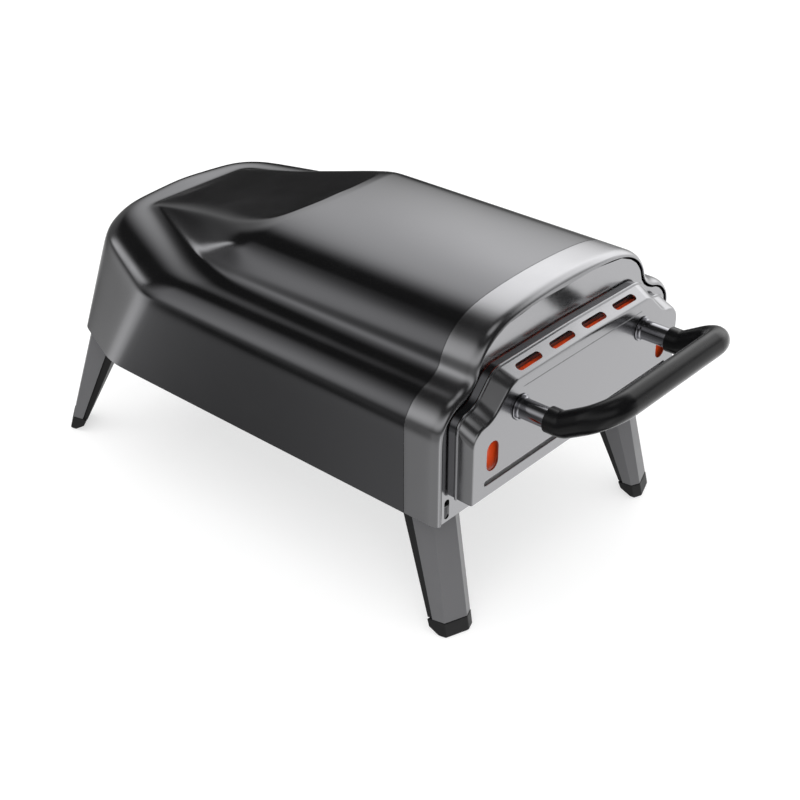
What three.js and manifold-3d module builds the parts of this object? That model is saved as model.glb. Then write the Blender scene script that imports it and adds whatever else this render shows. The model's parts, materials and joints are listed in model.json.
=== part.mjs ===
// Portable gas pizza oven with a lift-off door and four folding legs.
// Millimetres, +Z up, front of the oven towards -Y, floor at Z = 0.
import * as THREE from 'three';
import { mergeVertices } from 'three/addons/utils/BufferGeometryUtils.js';
import Module from 'manifold-3d';

const wasm = await Module();
wasm.setup();

// Body: the front face of the closed door is Y = 0
const BODY_WIDTH = 420;
const BODY_TOP = 361.5;
const SKIRT_Z = 151;
const SEAM_Y = 71.5;
const BODY_REAR = 655;
const HOOD_SHEET = 2;
const CORNER_ROUND = 32;
const FIT = 0.3;
const OVERRUN = 5;
const BODY_HALF = BODY_WIDTH / 2;
const BODY_HEIGHT = BODY_TOP - SKIRT_Z;
const HOOD_LENGTH = BODY_REAR - SEAM_Y;

// Front collar and mouth plate
const COLLAR_FRONT = 26;
const COLLAR_ROUND = 12;
const COLLAR_INSET = 6.5;
const COLLAR_SHEET = 2;
const PLATE_FRONT = 28;
const PLATE_SHEET = 2;
const PLATE_SHADOW_GAP = 1;
const NECK_FRONT = 24;
const VENT_SLOT_WIDTH = 8;
const VENT_SLOT_HEIGHT = 24;
const VENT_SLOT_MARGIN = 1.6;

// Door
const DOOR_MARGIN = 23.25;
const DOOR_WIDTH = BODY_WIDTH - 2 * DOOR_MARGIN;
const DOOR_HALF = DOOR_WIDTH / 2;
const DOOR_RAISE = 27.5;
const DOOR_BOTTOM = SKIRT_Z + DOOR_RAISE;
const DOOR_TOP_SHARE = 0.70784;
const DOOR_TOP = SKIRT_Z + DOOR_TOP_SHARE * BODY_HEIGHT;
const DOOR_HEIGHT = DOOR_TOP - DOOR_BOTTOM;
const DOOR_FLARE = 9.5;
const DOOR_REAR_TOP = DOOR_TOP + DOOR_FLARE;
const DOOR_DEPTH = 22;
const DOOR_SHEET = 2;
const DOOR_EDGE = 2.4;
const DOOR_LIP = 2.2;
const DOOR_LIP_REACH = 1.6;
const PAN_DEPTH = 7;
const PAN_INSET = 6;
const PAN_SHEET = 1.5;
const PAN_REAR_GAP = 2.4;
const PAN_REAR = DOOR_DEPTH - PAN_REAR_GAP;
const PLUG_CLEARANCE = 1.5;
const PLUG_REACH = 14;
const TOP_SLOT_COUNT = 4;
const TOP_SLOT_GAP = 17.5;
const TOP_SLOT_SPAN_SHARE = 0.569;
const TOP_SLOT_PITCH = (TOP_SLOT_SPAN_SHARE * DOOR_WIDTH + TOP_SLOT_GAP) / TOP_SLOT_COUNT;
const TOP_SLOT_LENGTH = TOP_SLOT_PITCH - TOP_SLOT_GAP;
const TOP_SLOT_WIDTH = 9;
const TOP_SLOT_Y = 10.5;
const SIDE_SLOT_WIDTH = 19;
const SIDE_SLOT_HEIGHT_SHARE = 0.288;
const SIDE_SLOT_HEIGHT = SIDE_SLOT_HEIGHT_SHARE * DOOR_HEIGHT;
const SIDE_SLOT_MARGIN = 31.75;
const SIDE_SLOT_X = DOOR_HALF - SIDE_SLOT_MARGIN;
const SIDE_SLOT_SHARE = 0.391;
const SIDE_SLOT_Z = DOOR_BOTTOM + SIDE_SLOT_SHARE * DOOR_HEIGHT;
const LOW_SLOT_MARGIN = 19.25;
const LOW_SLOT_LENGTH = DOOR_WIDTH - 2 * LOW_SLOT_MARGIN;
const LOW_SLOT_HEIGHT = 6.6;
const LOW_SLOT_SHARE = 0.15;
const LOW_SLOT_Z = DOOR_BOTTOM + LOW_SLOT_SHARE * DOOR_HEIGHT;
const CREASE_DROP = 13.4;
const CREASE_Z = DOOR_TOP - CREASE_DROP;
const CREASE_WIDTH = 1.2;
const CREASE_DEPTH = 0.5;

// Mouth opening
const MOUTH_SHARE = 0.9424;
const MOUTH_WIDTH = MOUTH_SHARE * DOOR_WIDTH;
const MOUTH_HALF = MOUTH_WIDTH / 2;
const MOUTH_DROP = 6;
const MOUTH_TOP = DOOR_TOP - MOUTH_DROP;
const SILL_RAISE = 2.5;
const MOUTH_SILL = DOOR_BOTTOM + SILL_RAISE;

// Handle
const HANDLE_SPAN_SHARE = 0.5933;
const HANDLE_SPAN = HANDLE_SPAN_SHARE * DOOR_WIDTH;
const HANDLE_DROP = 36;
const HANDLE_Z = DOOR_TOP - HANDLE_DROP;
const CREASE_MARGIN = 3.8;
const CREASE_LENGTH = HANDLE_SPAN - 2 * CREASE_MARGIN;
const POST_DIAMETER = 22.5;
const POST_RING_DIAMETER = 29;
const POST_RING_HEIGHT = 4;
const POST_LENGTH = 36;
const STUD_DIAMETER = 6;
const GRIP_DIAMETER = 28.5;
const GRIP_STRAIGHT = 16.5;
const GRIP_REACH = 104.6;
const GRIP_RISE = 30.7;
const GRIP_KNEE = 20;
const GRIP_BEND = 32;
const GRIP_SOCKET = 12;
const SPIGOT_DIAMETER = 17;
const NUT_ACROSS = 13;

// Chamber
const LINER_SHEET = 1.5;
const LINER_REAR_SHARE = 0.7686;
const LINER_REAR = SEAM_Y + LINER_REAR_SHARE * HOOD_LENGTH;
const BLANKET = 10;
const BLANKET_SETBACK = 4.5;
const BLANKET_FRONT = SEAM_Y + BLANKET_SETBACK;
const BLANKET_REAR_SHARE = 0.6315;
const BLANKET_REAR = SEAM_Y + BLANKET_REAR_SHARE * HOOD_LENGTH;
const PAN_FLOOR_RAISE = 7;
const PAN_FLOOR_Z = SKIRT_Z + PAN_FLOOR_RAISE;
const BASE_SHEET = 1.5;
const BASE_RIM = 14;
const STONE_SIDE_CLEARANCE = 6;
const STONE_WIDTH = MOUTH_WIDTH - 2 * STONE_SIDE_CLEARANCE;
const STONE_THICKNESS = 12;
const STONE_RAISE = 2.5;
const STONE_TOP = MOUTH_SILL + STONE_RAISE;
const STONE_SETBACK = 32;
const STONE_FRONT = PLATE_FRONT + STONE_SETBACK;
const RAIL_WIDTH = 16;
const RAIL_INSET = 24;
const RAIL_X = STONE_WIDTH / 2 - RAIL_INSET;
const SILL_PLATE_DEPTH = 27;

// Burner and gas train
const BURNER_SETBACK = 50;
const BURNER_Y = LINER_REAR - BURNER_SETBACK;
const BURNER_RAISE = 17;
const BURNER_Z = MOUTH_SILL + BURNER_RAISE;
const BURNER_DIAMETER = 24;
const GUARD_AHEAD = 40;
const GUARD_Y = BURNER_Y - GUARD_AHEAD;
const STONE_REAR_CLEARANCE = 30;
const STONE_REAR = GUARD_Y - STONE_REAR_CLEARANCE;
const GUARD_SIDE_CLEARANCE = 16;
const GUARD_WIDTH = MOUTH_WIDTH - 2 * GUARD_SIDE_CLEARANCE;
const BURNER_SIDE_CLEARANCE = 15;
const BURNER_LENGTH = GUARD_WIDTH - 2 * BURNER_SIDE_CLEARANCE;
const SADDLE_INSET = 37;
const SADDLE_X = BURNER_LENGTH / 2 - SADDLE_INSET;
const SADDLE_SHEET = 2;
const SADDLE_WIDTH = 20;
const GUARD_HEIGHT = 54;
const GUARD_SHEET = 1.5;
const GUARD_SLOTS = 9;
const GUARD_SLOT_WIDTH = 6;
const GUARD_FOOT = 14;
const ELECTRODE_DIAMETER = 6;
const ELECTRODE_LENGTH = 46;
const VALVE_WIDTH = 36;
const VALVE_HEIGHT = 34;
const VALVE_LENGTH = 40;
const VALVE_SETBACK = 29;
const VALVE_REAR = BODY_REAR - VALVE_SETBACK;
const VALVE_FRONT = VALVE_REAR - VALVE_LENGTH;
const NOZZLE_DIAMETER = 9;
const NOZZLE_REACH = 26;
const MIXER_DIAMETER = 20;
const MIXER_BELL_DIAMETER = 34;
const MIXER_BELL_LENGTH = 24;
const MIXER_GAP = 20;
const MIXER_END = VALVE_FRONT - MIXER_GAP;
const VALVE_BRACKET_SHEET = 2;
const STEM_DIAMETER = 8;
const STEM_SEAT = 8;
const STEM_REACH = 16;
const STEM_END = BODY_REAR + STEM_REACH;
const KNOB_DIAMETER = 46;
const KNOB_GAP = 1;
const KNOB_FRONT = BODY_REAR + KNOB_GAP;
const KNOB_DEPTH = 20;
const KNOB_LOBES = 10;
const KNOB_LOBE_DEPTH = 1.6;
const INLET_X = 78;
const INLET_PIPE = 11;
const INLET_BEND = 22;
const INLET_NUT_ACROSS = 19;
const INLET_NUT_LENGTH = 9;
const INLET_REACH = 17;
const INLET_END = BODY_REAR + INLET_REACH;

// Legs
const LEG_TOP = SKIRT_Z - 2 * FIT;
const LEG_SHEET = 1.6;
const CORE_PROUD_LOW = 5.5;
const CORE_PROUD_TOP = 13;
const HIP_WIDTH = 50;
const HIP_DEPTH = 40;
const HIP_OUT = 25;
const HIP_BACK = 42;
const ANKLE_WIDTH = 43.5;
const ANKLE_DEPTH = 22;
const SHOE_LIP = 0.6;
const SHOE_TOP = 18;
const SHOE_CHAMFER = 6;
const SHOE_BEVEL = 2;
const FRONT_LEG_SIDE = 48;
const FRONT_LEG_SETBACK = 15.5;
const REAR_LEG_SIDE = 76.1;
const REAR_LEG_SETBACK = 38.5;
const FRONT_LEG = {
  x: BODY_HALF - FRONT_LEG_SIDE, y: SEAM_Y + FRONT_LEG_SETBACK, yaw: 0, lean: 33, splay: 13,
};
const REAR_LEG = {
  x: BODY_HALF - REAR_LEG_SIDE, y: BODY_REAR - REAR_LEG_SETBACK, yaw: 27, lean: 43.5, splay: 13,
};
const PIN_DIAMETER = 8;
const PIN_DROP = 11.4;
const PIN_Z = LEG_TOP - PIN_DROP;
const PIN_LENGTH = 38;
const TONGUE_THICKNESS = 9;
const TONGUE_RADIUS = 11;
const BRACKET_PLATE = 42;
const BRACKET_SHEET = 2.5;

// Finishes
const finish = (color, metalness, roughness) =>
  new THREE.MeshStandardMaterial({ color, metalness, roughness });
const finishes = {
  hood: () => finish(0x2b2b2c, 0.35, 0.35),
  satin: () => finish(0x9a9a9b, 0.9, 0.35),
  polished: () => finish(0xb8b8ba, 1.0, 0.15),
  orange: () => finish(0xe0481e, 0.0, 0.5),
  galvanised: () => finish(0x8a8d8f, 0.8, 0.5),
  stone: () => finish(0xc9b79c, 0.0, 0.95),
  fibre: () => finish(0xe6e2d8, 0.0, 1.0),
  brass: () => finish(0xb08d45, 0.9, 0.35),
  ceramic: () => finish(0xece8df, 0.0, 0.4),
  legPaint: () => finish(0x6a6a6b, 0.2, 0.5),
  blackNylon: () => finish(0x151516, 0.0, 0.55),
  rubber: () => finish(0x1a1a1b, 0.0, 0.7),
  grip: () => finish(0x1c1c1e, 0.0, 0.38),
};

const X = new THREE.Vector3(1, 0, 0);
const Y = new THREE.Vector3(0, 1, 0);
const Z = new THREE.Vector3(0, 0, 1);

// Solids and booleans
function solidOf(geometry) {
  const bare = geometry.clone();
  bare.deleteAttribute('normal');
  bare.deleteAttribute('uv');
  const merged = mergeVertices(bare, 1e-4);
  const vertProperties = new Float32Array(merged.attributes.position.array);
  const triVerts = new Uint32Array(merged.index.array);
  let volume = 0;
  const [a, b, c] = [new THREE.Vector3(), new THREE.Vector3(), new THREE.Vector3()];
  for (let t = 0; t < triVerts.length; t += 3) {
    a.fromArray(vertProperties, 3 * triVerts[t]);
    b.fromArray(vertProperties, 3 * triVerts[t + 1]);
    c.fromArray(vertProperties, 3 * triVerts[t + 2]);
    volume += a.dot(b.cross(c));
  }
  if (volume < 0) {
    for (let t = 0; t < triVerts.length; t += 3) {
      [triVerts[t + 1], triVerts[t + 2]] = [triVerts[t + 2], triVerts[t + 1]];
    }
  }
  return new wasm.Manifold(new wasm.Mesh({ numProp: 3, vertProperties, triVerts }));
}

function geometryOf(solid) {
  const { vertProperties, triVerts } = solid.getMesh();
  const geometry = new THREE.BufferGeometry();
  geometry.setAttribute('position', new THREE.BufferAttribute(new Float32Array(vertProperties), 3));
  geometry.setIndex(new THREE.BufferAttribute(new Uint32Array(triVerts), 1));
  geometry.computeVertexNormals();
  return geometry;
}

// A mirrored geometry needs its triangles turned round again
function turnedInsideOut(geometry) {
  const index = geometry.index.array;
  for (let t = 0; t < index.length; t += 3) {
    [index[t + 1], index[t + 2]] = [index[t + 2], index[t + 1]];
  }
  geometry.computeVertexNormals();
}

const union = (...solids) => solids.reduce((sum, piece) => sum.add(piece));
const cut = (solid, ...tools) => tools.reduce((rest, tool) => rest.subtract(tool), solid);

// Extrusion of an outline: along Y the outline is drawn in X and Z, along X in Y and Z
function extrusion(outline, holes, depth, xAxis, yAxis, origin) {
  const shape = new THREE.Shape(outline);
  shape.holes = holes.map((hole) => new THREE.Path(hole));
  const geometry = new THREE.ExtrudeGeometry(shape, { depth, bevelEnabled: false, curveSegments: 8 });
  const frame = new THREE.Matrix4().makeBasis(xAxis, yAxis, new THREE.Vector3().crossVectors(xAxis, yAxis));
  geometry.applyMatrix4(frame.setPosition(origin));
  return solidOf(geometry);
}
const alongY = (outline, from, to, holes = []) =>
  extrusion(outline, holes, to - from, X, Z, new THREE.Vector3(0, to, 0));
const alongX = (outline, from, to, holes = []) =>
  extrusion(outline, holes, to - from, Y, Z, new THREE.Vector3(from, 0, 0));
const alongZ = (outline, from, to, holes = []) =>
  extrusion(outline, holes, to - from, X, Y, new THREE.Vector3(0, 0, from));

const rectangle = (left, right, low, high) => [
  new THREE.Vector2(left, low), new THREE.Vector2(right, low),
  new THREE.Vector2(right, high), new THREE.Vector2(left, high),
];
function box(left, right, front, back, low, high) {
  return alongZ(rectangle(left, right, front, back), low, high);
}

// Round bar between two points, and a turned profile of [radius, distance] pairs about a line
function turned(profile, origin, direction, sides = 24) {
  const points = profile.map(([radius, along]) => new THREE.Vector2(radius, along));
  const geometry = new THREE.LatheGeometry(points, sides);
  geometry.applyQuaternion(new THREE.Quaternion().setFromUnitVectors(Y, direction));
  return solidOf(geometry.translate(origin.x, origin.y, origin.z));
}
function rod(diameter, start, end, sides = 20) {
  const direction = end.clone().sub(start);
  const length = direction.length();
  const radius = diameter / 2;
  return turned([[0, 0], [radius, 0], [radius, length], [0, length]], start, direction.normalize(), sides);
}
const at = (x, y, z) => new THREE.Vector3(x, y, z);

// Outline whose corners [x, y, radius] are rounded with arcs
function rounded(corners, steps = 5) {
  const outline = [];
  corners.forEach(([x, y, radius], i) => {
    const corner = new THREE.Vector2(x, y);
    const [px, py] = corners[(i + corners.length - 1) % corners.length];
    const [nx, ny] = corners[(i + 1) % corners.length];
    const before = new THREE.Vector2(px, py).sub(corner).normalize();
    const after = new THREE.Vector2(nx, ny).sub(corner).normalize();
    const turn = Math.PI - Math.acos(THREE.MathUtils.clamp(before.dot(after), -1, 1));
    if (!radius || turn < 1e-3) {
      outline.push(corner);
      return;
    }
    const setback = radius * Math.tan(turn / 2);
    const start = before.clone().multiplyScalar(setback).add(corner);
    const toCentre = before.clone().add(after).normalize().multiplyScalar(radius / Math.cos(turn / 2));
    const centre = corner.clone().add(toCentre);
    const spin = Math.sign(before.x * after.y - before.y * after.x);
    for (let k = 0; k <= steps; k += 1) {
      outline.push(start.clone().rotateAround(centre, (-spin * turn * k) / steps));
    }
  });
  return outline;
}
const mirrored = (half) =>
  [...half, ...half.filter(([x]) => x > 0).map(([x, y, radius]) => [-x, y, radius]).reverse()];

// Outline moved sideways by a distance, to the left of its travel; open paths keep their ends square
function offset(points, distance, closed = true) {
  return points.map((point, i) => {
    const last = points.length - 1;
    const previous = points[i === 0 ? (closed ? last : 0) : i - 1];
    const next = points[i === last ? (closed ? 0 : last) : i + 1];
    const into = point.clone().sub(previous);
    const out = next.clone().sub(point);
    if (!into.length()) into.copy(out);
    if (!out.length()) out.copy(into);
    into.normalize();
    out.normalize();
    const normal = new THREE.Vector2(-into.y - out.y, into.x + out.x).normalize();
    const mitre = Math.max(0.5, normal.x * -into.y + normal.y * into.x);
    return normal.multiplyScalar(distance / mitre).add(point);
  });
}

// Rounded corners moved inwards; outside corners tighten and inside corners open up by the same distance
function shrunk(corners, distance) {
  const points = corners.map(([x, y]) => new THREE.Vector2(x, y));
  const inward = THREE.ShapeUtils.isClockWise(points) ? -1 : 1;
  return offset(points, inward * distance).map(({ x, y }, i) => {
    const before = points[(i + points.length - 1) % points.length];
    const after = points[(i + 1) % points.length];
    const turn = points[i].clone().sub(before).cross(after.clone().sub(points[i])) * inward;
    const radius = corners[i][2];
    return [x, y, radius ? Math.max(FIT, radius - Math.sign(turn) * distance) : 0];
  });
}

// Loft through closed rings of equal count, capped at both ends
function loft(rings) {
  const count = rings[0].length;
  const positions = rings.flat().flatMap((p) => [p.x, p.y, p.z]);
  const index = [];
  for (let r = 0; r + 1 < rings.length; r += 1) {
    for (let i = 0; i < count; i += 1) {
      const [a, b] = [r * count + i, r * count + ((i + 1) % count)];
      index.push(a, b, b + count, a, b + count, a + count);
    }
  }
  const capped = (ring, first, flip) => {
    const normal = new THREE.Vector3();
    ring.forEach((p, i) => normal.add(p.clone().cross(ring[(i + 1) % count])));
    normal.normalize();
    const u = new THREE.Vector3().crossVectors(Math.abs(normal.z) > 0.5 ? X : Z, normal).normalize();
    const v = new THREE.Vector3().crossVectors(normal, u);
    const flat = ring.map((p) => new THREE.Vector2(p.dot(u), p.dot(v)));
    THREE.ShapeUtils.triangulateShape(flat, []).forEach(([a, b, c]) => {
      index.push(...(flip ? [first + c, first + b, first + a] : [first + a, first + b, first + c]));
    });
  };
  capped(rings[0], 0, true);
  capped(rings[rings.length - 1], (rings.length - 1) * count, false);
  const geometry = new THREE.BufferGeometry();
  geometry.setAttribute('position', new THREE.Float32BufferAttribute(positions, 3));
  geometry.setIndex(index);
  return solidOf(geometry);
}

// Hood: rows run from the skirt edge up to the centre of the crown. Each row is a line in plan that
// follows the side, turns at the bend into the slanted rear corner, turns again and ends at the
// middle of the rear. A row holds across and up at the seam, the bend's along and up, the corner's
// across, along and up, the rear end's along and up, and the rounding of the bend and the corner.
// across is a share of the half width, along of the hood length, up of the height.
const hoodRowShares = [
  [1.000, 0.000, [0.820, 0.000], [0.800, 0.997, 0.000], [1.000, 0.000], [0.7, 0.5]],
  [1.000, 0.500, [0.697, 0.527], [0.650, 0.988, 0.600], [0.993, 0.618], [0.8, 1.7]],
  [0.988, 0.551, [0.680, 0.575], [0.615, 0.983, 0.640], [0.989, 0.662], [0.8, 1.7]],
  [0.957, 0.596, [0.662, 0.613], [0.570, 0.974, 0.675], [0.982, 0.700], [0.8, 1.6]],
  [0.919, 0.632, [0.647, 0.647], [0.523, 0.962, 0.699], [0.972, 0.722], [0.8, 1.3]],
  [0.874, 0.658, [0.629, 0.667], [0.467, 0.946, 0.708], [0.953, 0.723], [0.8, 1.0]],
  [0.829, 0.670, [0.612, 0.676], [0.415, 0.930, 0.705], [0.933, 0.712], [0.8, 0.7]],
  [0.791, 0.688, [0.596, 0.689], [0.365, 0.918, 0.706], [0.918, 0.709], [0.8, 0.5]],
  [0.761, 0.710, [0.583, 0.706], [0.328, 0.909, 0.715], [0.909, 0.717], [0.8, 0.3]],
  [0.741, 0.736, [0.576, 0.720], [0.310, 0.902, 0.718], [0.901, 0.721], [0.8, 0.3]],
  [0.730, 0.769, [0.571, 0.747], [0.321, 0.879, 0.737], [0.878, 0.741], [0.8, 0.4]],
  [0.719, 0.800, [0.566, 0.777], [0.338, 0.848, 0.759], [0.847, 0.764], [0.8, 0.5]],
  [0.691, 0.840, [0.560, 0.825], [0.368, 0.783, 0.798], [0.783, 0.806], [0.8, 0.8]],
  [0.661, 0.874, [0.550, 0.863], [0.399, 0.717, 0.838], [0.717, 0.849], [0.8, 0.8]],
  [0.621, 0.903, [0.540, 0.895], [0.430, 0.651, 0.875], [0.651, 0.890], [0.7, 0.7]],
  [0.594, 0.921, [0.532, 0.914], [0.449, 0.612, 0.900], [0.612, 0.917], [0.6, 0.6]],
  [0.495, 0.964, [0.498, 0.962], [0.476, 0.518, 0.960], [0.518, 0.979], [0.1, 0.1]],
  [0.286, 0.990, [0.481, 0.988], [0.271, 0.498, 0.986], [0.498, 0.990], [0.1, 0.1]],
  [0.000, 1.000, [0.469, 1.000], [0.000, 0.481, 0.999], [0.486, 0.998], [0.1, 0.1]],
];
const SIDE_STATION_SHARES = [0, 0.36, 0.7];
const ARC_STEPS = 4;

const hoodPoint = (across, along, up) =>
  at(across * BODY_HALF, SEAM_Y + along * HOOD_LENGTH, SKIRT_Z + up * BODY_HEIGHT);

function hoodRow([across, up, bend, corner, rear, round]) {
  const start = hoodPoint(across, 0, up);
  const turnIn = hoodPoint(across, bend[0], bend[1]);
  const turnBack = hoodPoint(...corner);
  const end = hoodPoint(0, rear[0], rear[1]);
  const diagonal = turnIn.distanceTo(turnBack);
  const setIn = Math.min(round[0] * CORNER_ROUND, diagonal * 0.35);
  const run = turnBack.distanceTo(end);
  const setBack = Math.min(round[1] * CORNER_ROUND, diagonal * 0.35, run * 0.6 + FIT / 2);
  const toward = (from, to, distance) => from.clone().add(to.clone().sub(from).setLength(distance));
  const arcIn = new THREE.QuadraticBezierCurve3(
    toward(turnIn, start, setIn), turnIn, toward(turnIn, turnBack, setIn));
  const backEnd = run > setBack ? toward(turnBack, end, setBack) : end.clone();
  const arcBack = new THREE.QuadraticBezierCurve3(toward(turnBack, turnIn, setBack), turnBack, backEnd);
  return [
    ...SIDE_STATION_SHARES.map((share) => start.clone().lerp(arcIn.v0, share)),
    ...arcIn.getPoints(ARC_STEPS),
    arcIn.v2.clone().lerp(arcBack.v0, 0.5),
    ...arcBack.getPoints(ARC_STEPS),
    arcBack.v2.clone().lerp(end, 0.5),
    end,
  ];
}

// Grid of the left half, mirrored to the right, and the same grid moved inwards by the sheet
function gridNormals(grid) {
  const reach = (list, i) => [list[Math.max(0, i - 1)], list[Math.min(list.length - 1, i + 1)]];
  return grid.map((row, r) => row.map((point, c) => {
    const [below, above] = reach(grid, r).map((line) => line[c]);
    const [ahead, behind] = reach(row, c);
    const normal = new THREE.Vector3().crossVectors(behind.clone().sub(ahead), above.clone().sub(below));
    if (point.x < 1e-6) normal.x = 0;
    if (c === 0) normal.y = 0;
    if (r === 0) normal.z = 0;
    return normal.normalize();
  }));
}

function shellOfGrid(grid, sheet) {
  const normals = gridNormals(grid);
  const outward = Math.sign(normals[0][0].x) || 1;
  const inner = grid.map((row, r) => row.map((point, c) =>
    point.clone().addScaledVector(normals[r][c], -outward * sheet)));
  const triangles = [];
  const quad = (a, b, c, d) => triangles.push(a, b, c, a, c, d);
  const both = (a, b, c, d) => {
    quad(a, b, c, d);
    const [ma, mb, mc, md] = [a, b, c, d].map((p) => at(-p.x, p.y, p.z));
    quad(md, mc, mb, ma);
  };
  for (let r = 0; r + 1 < grid.length; r += 1) {
    for (let c = 0; c + 1 < grid[0].length; c += 1) {
      both(grid[r][c], grid[r][c + 1], grid[r + 1][c + 1], grid[r + 1][c]);
      both(inner[r + 1][c], inner[r + 1][c + 1], inner[r][c + 1], inner[r][c]);
    }
    both(grid[r + 1][0], inner[r + 1][0], inner[r][0], grid[r][0]);
  }
  for (let c = 0; c + 1 < grid[0].length; c += 1) {
    both(grid[0][c + 1], grid[0][c], inner[0][c], inner[0][c + 1]);
  }
  const geometry = new THREE.BufferGeometry().setFromPoints(triangles);
  geometry.setIndex(triangles.map((_, i) => i));
  return solidOf(geometry);
}

const rearWallY = (z) => {
  const [skirt, shoulder] = [hoodRowShares[0], hoodRowShares[1]].map((row) => hoodPoint(0, ...row[4]));
  return THREE.MathUtils.mapLinear(z, skirt.z, shoulder.z, skirt.y, shoulder.y);
};

function hoodShell() {
  const shell = shellOfGrid(hoodRowShares.map(hoodRow), HOOD_SHEET);
  const wall = rearWallY(BURNER_Z);
  const through = (x, diameter) =>
    rod(diameter, at(x, wall - HOOD_SHEET - OVERRUN, BURNER_Z), at(x, wall + OVERRUN, BURNER_Z), 16);
  return cut(shell, through(0, STEM_DIAMETER + 4 * FIT), through(INLET_X, INLET_PIPE + 4 * FIT));
}

// Section of the body at the seam, from the left skirt over the crown to the right skirt
const sectionHalf = hoodRowShares.map(([across, up]) => [across * BODY_HALF, SKIRT_Z + up * BODY_HEIGHT]);
const bodySection = [
  ...sectionHalf.slice(0, -1),
  ...sectionHalf.slice().reverse().map(([x, z]) => [-x, z]),
].map(([x, z]) => new THREE.Vector2(x, z));

function bodyRibbon(profile) {
  const paths = profile.map(([, inset]) => offset(bodySection, inset, false));
  return loft(bodySection.map((_, i) => profile.map(([y, inset], k) => at(
    paths[k][i].x, y, i === 0 || i === bodySection.length - 1 ? SKIRT_Z : paths[k][i].y))));
}

function frontCollar() {
  const outer = [];
  const inner = [];
  const steps = 4;
  for (let k = 0; k <= steps; k += 1) {
    const angle = (k / steps) * (Math.PI / 2);
    const [ahead, inwards] = [Math.sin(angle), 1 - Math.cos(angle)];
    outer.push([COLLAR_FRONT + COLLAR_ROUND * (1 - ahead), COLLAR_INSET * inwards]);
    inner.push([
      COLLAR_FRONT + COLLAR_ROUND - (COLLAR_ROUND - COLLAR_SHEET) * ahead,
      COLLAR_SHEET + (COLLAR_INSET - FIT) * inwards,
    ]);
  }
  const rear = SEAM_Y - FIT;
  return bodyRibbon([[rear, 0], ...outer, ...inner.reverse(), [rear, COLLAR_SHEET]]);
}

// Door and mouth outlines: half outlines from the middle of the top down to the sill
const doorFrontShares = [
  [0, 1, 0], [0.669, 0.985, 0.2], [0.843, 0.730, 0.25], [1, 0.705, 0.165], [1, 0, 0.02]];
const doorRearShares = [
  [0, 1, 0], [0.70, 0.985, 0.207], [0.852, 0.742, 0.239], [1, 0.72, 0.152], [1, 0, 0.022]];
const mouthShares = [[0, 1, 0], [0.68, 0.985, 0.17], [0.845, 0.71, 0.2], [1, 0.69, 0.15], [1, 0, 0.02]];
const ARCH_ROUND_SHARE = 0.645;
function archOf(shares, half, sill, top) {
  const rise = top - sill;
  const reach = Math.min(rise, ARCH_ROUND_SHARE * half);
  const corners = mirrored(shares.map(([across, up, radius]) =>
    [across * half, sill + up * rise, radius * reach]));
  return (inset = 0) => rounded(shrunk(corners, inset));
}
const doorFront = archOf(doorFrontShares, DOOR_HALF, DOOR_BOTTOM, DOOR_TOP);
const doorRear = archOf(doorRearShares, DOOR_HALF, DOOR_BOTTOM, DOOR_REAR_TOP);
const mouth = archOf(mouthShares, MOUTH_HALF, MOUTH_SILL, MOUTH_TOP);
const ringAt = (outline, y) => outline.map((p) => at(p.x, y, p.y));

const hexagon = (x, z, across) => Array.from({ length: 6 }, (_, i) =>
  new THREE.Vector2(across / Math.sqrt(3), 0).rotateAround(new THREE.Vector2(), (i * Math.PI) / 3)
    .add(new THREE.Vector2(x, z)));

const pill = (x, z, width, height) => {
  const radius = Math.min(width, height) / 2 - FIT / 3;
  const corners = rectangle(x - width / 2, x + width / 2, z - height / 2, z + height / 2);
  return rounded(corners.map((corner) => [corner.x, corner.y, radius]), 4);
};

function doorShell() {
  const flare = (y, inset) => {
    const rear = doorRear(inset);
    return ringAt(doorFront(inset).map((p, i) => p.lerp(rear[i], y / DOOR_DEPTH)), y);
  };
  const outer = loft([
    flare(0, DOOR_EDGE), flare(DOOR_EDGE * 0.3, DOOR_EDGE * 0.3), flare(DOOR_EDGE, 0),
    flare(DOOR_DEPTH - DOOR_LIP, 0), flare(DOOR_DEPTH - DOOR_LIP * 0.7, -DOOR_LIP_REACH),
    flare(DOOR_DEPTH, -DOOR_LIP_REACH),
  ]);
  const inner = loft([flare(DOOR_SHEET, DOOR_SHEET), flare(DOOR_DEPTH + FIT, DOOR_SHEET)]);
  const front = (outline) => alongY(outline, -OVERRUN, DOOR_SHEET + FIT);
  const topSlots = Array.from({ length: TOP_SLOT_COUNT }, (_, i) => {
    const x = (i - (TOP_SLOT_COUNT - 1) / 2) * TOP_SLOT_PITCH;
    const outline = pill(x, TOP_SLOT_Y, TOP_SLOT_LENGTH, TOP_SLOT_WIDTH);
    return alongZ(outline, DOOR_TOP - 2 * OVERRUN, DOOR_REAR_TOP + OVERRUN);
  });
  const studs = [-1, 1].map((side) => {
    const origin = postOrigin(side);
    return rod(STUD_DIAMETER + FIT * 2, origin.clone().setY(-OVERRUN), origin.clone().setY(OVERRUN), 16);
  });
  const crease = rectangle(
    -CREASE_LENGTH / 2, CREASE_LENGTH / 2, CREASE_Z - CREASE_WIDTH / 2, CREASE_Z + CREASE_WIDTH / 2);
  return cut(
    outer, inner,
    front(pill(-SIDE_SLOT_X, SIDE_SLOT_Z, SIDE_SLOT_WIDTH, SIDE_SLOT_HEIGHT)),
    front(pill(SIDE_SLOT_X, SIDE_SLOT_Z, SIDE_SLOT_WIDTH, SIDE_SLOT_HEIGHT)),
    front(pill(0, LOW_SLOT_Z, LOW_SLOT_LENGTH, LOW_SLOT_HEIGHT)),
    alongY(crease, -OVERRUN, CREASE_DEPTH),
    ...topSlots, ...studs,
  );
}

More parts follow.
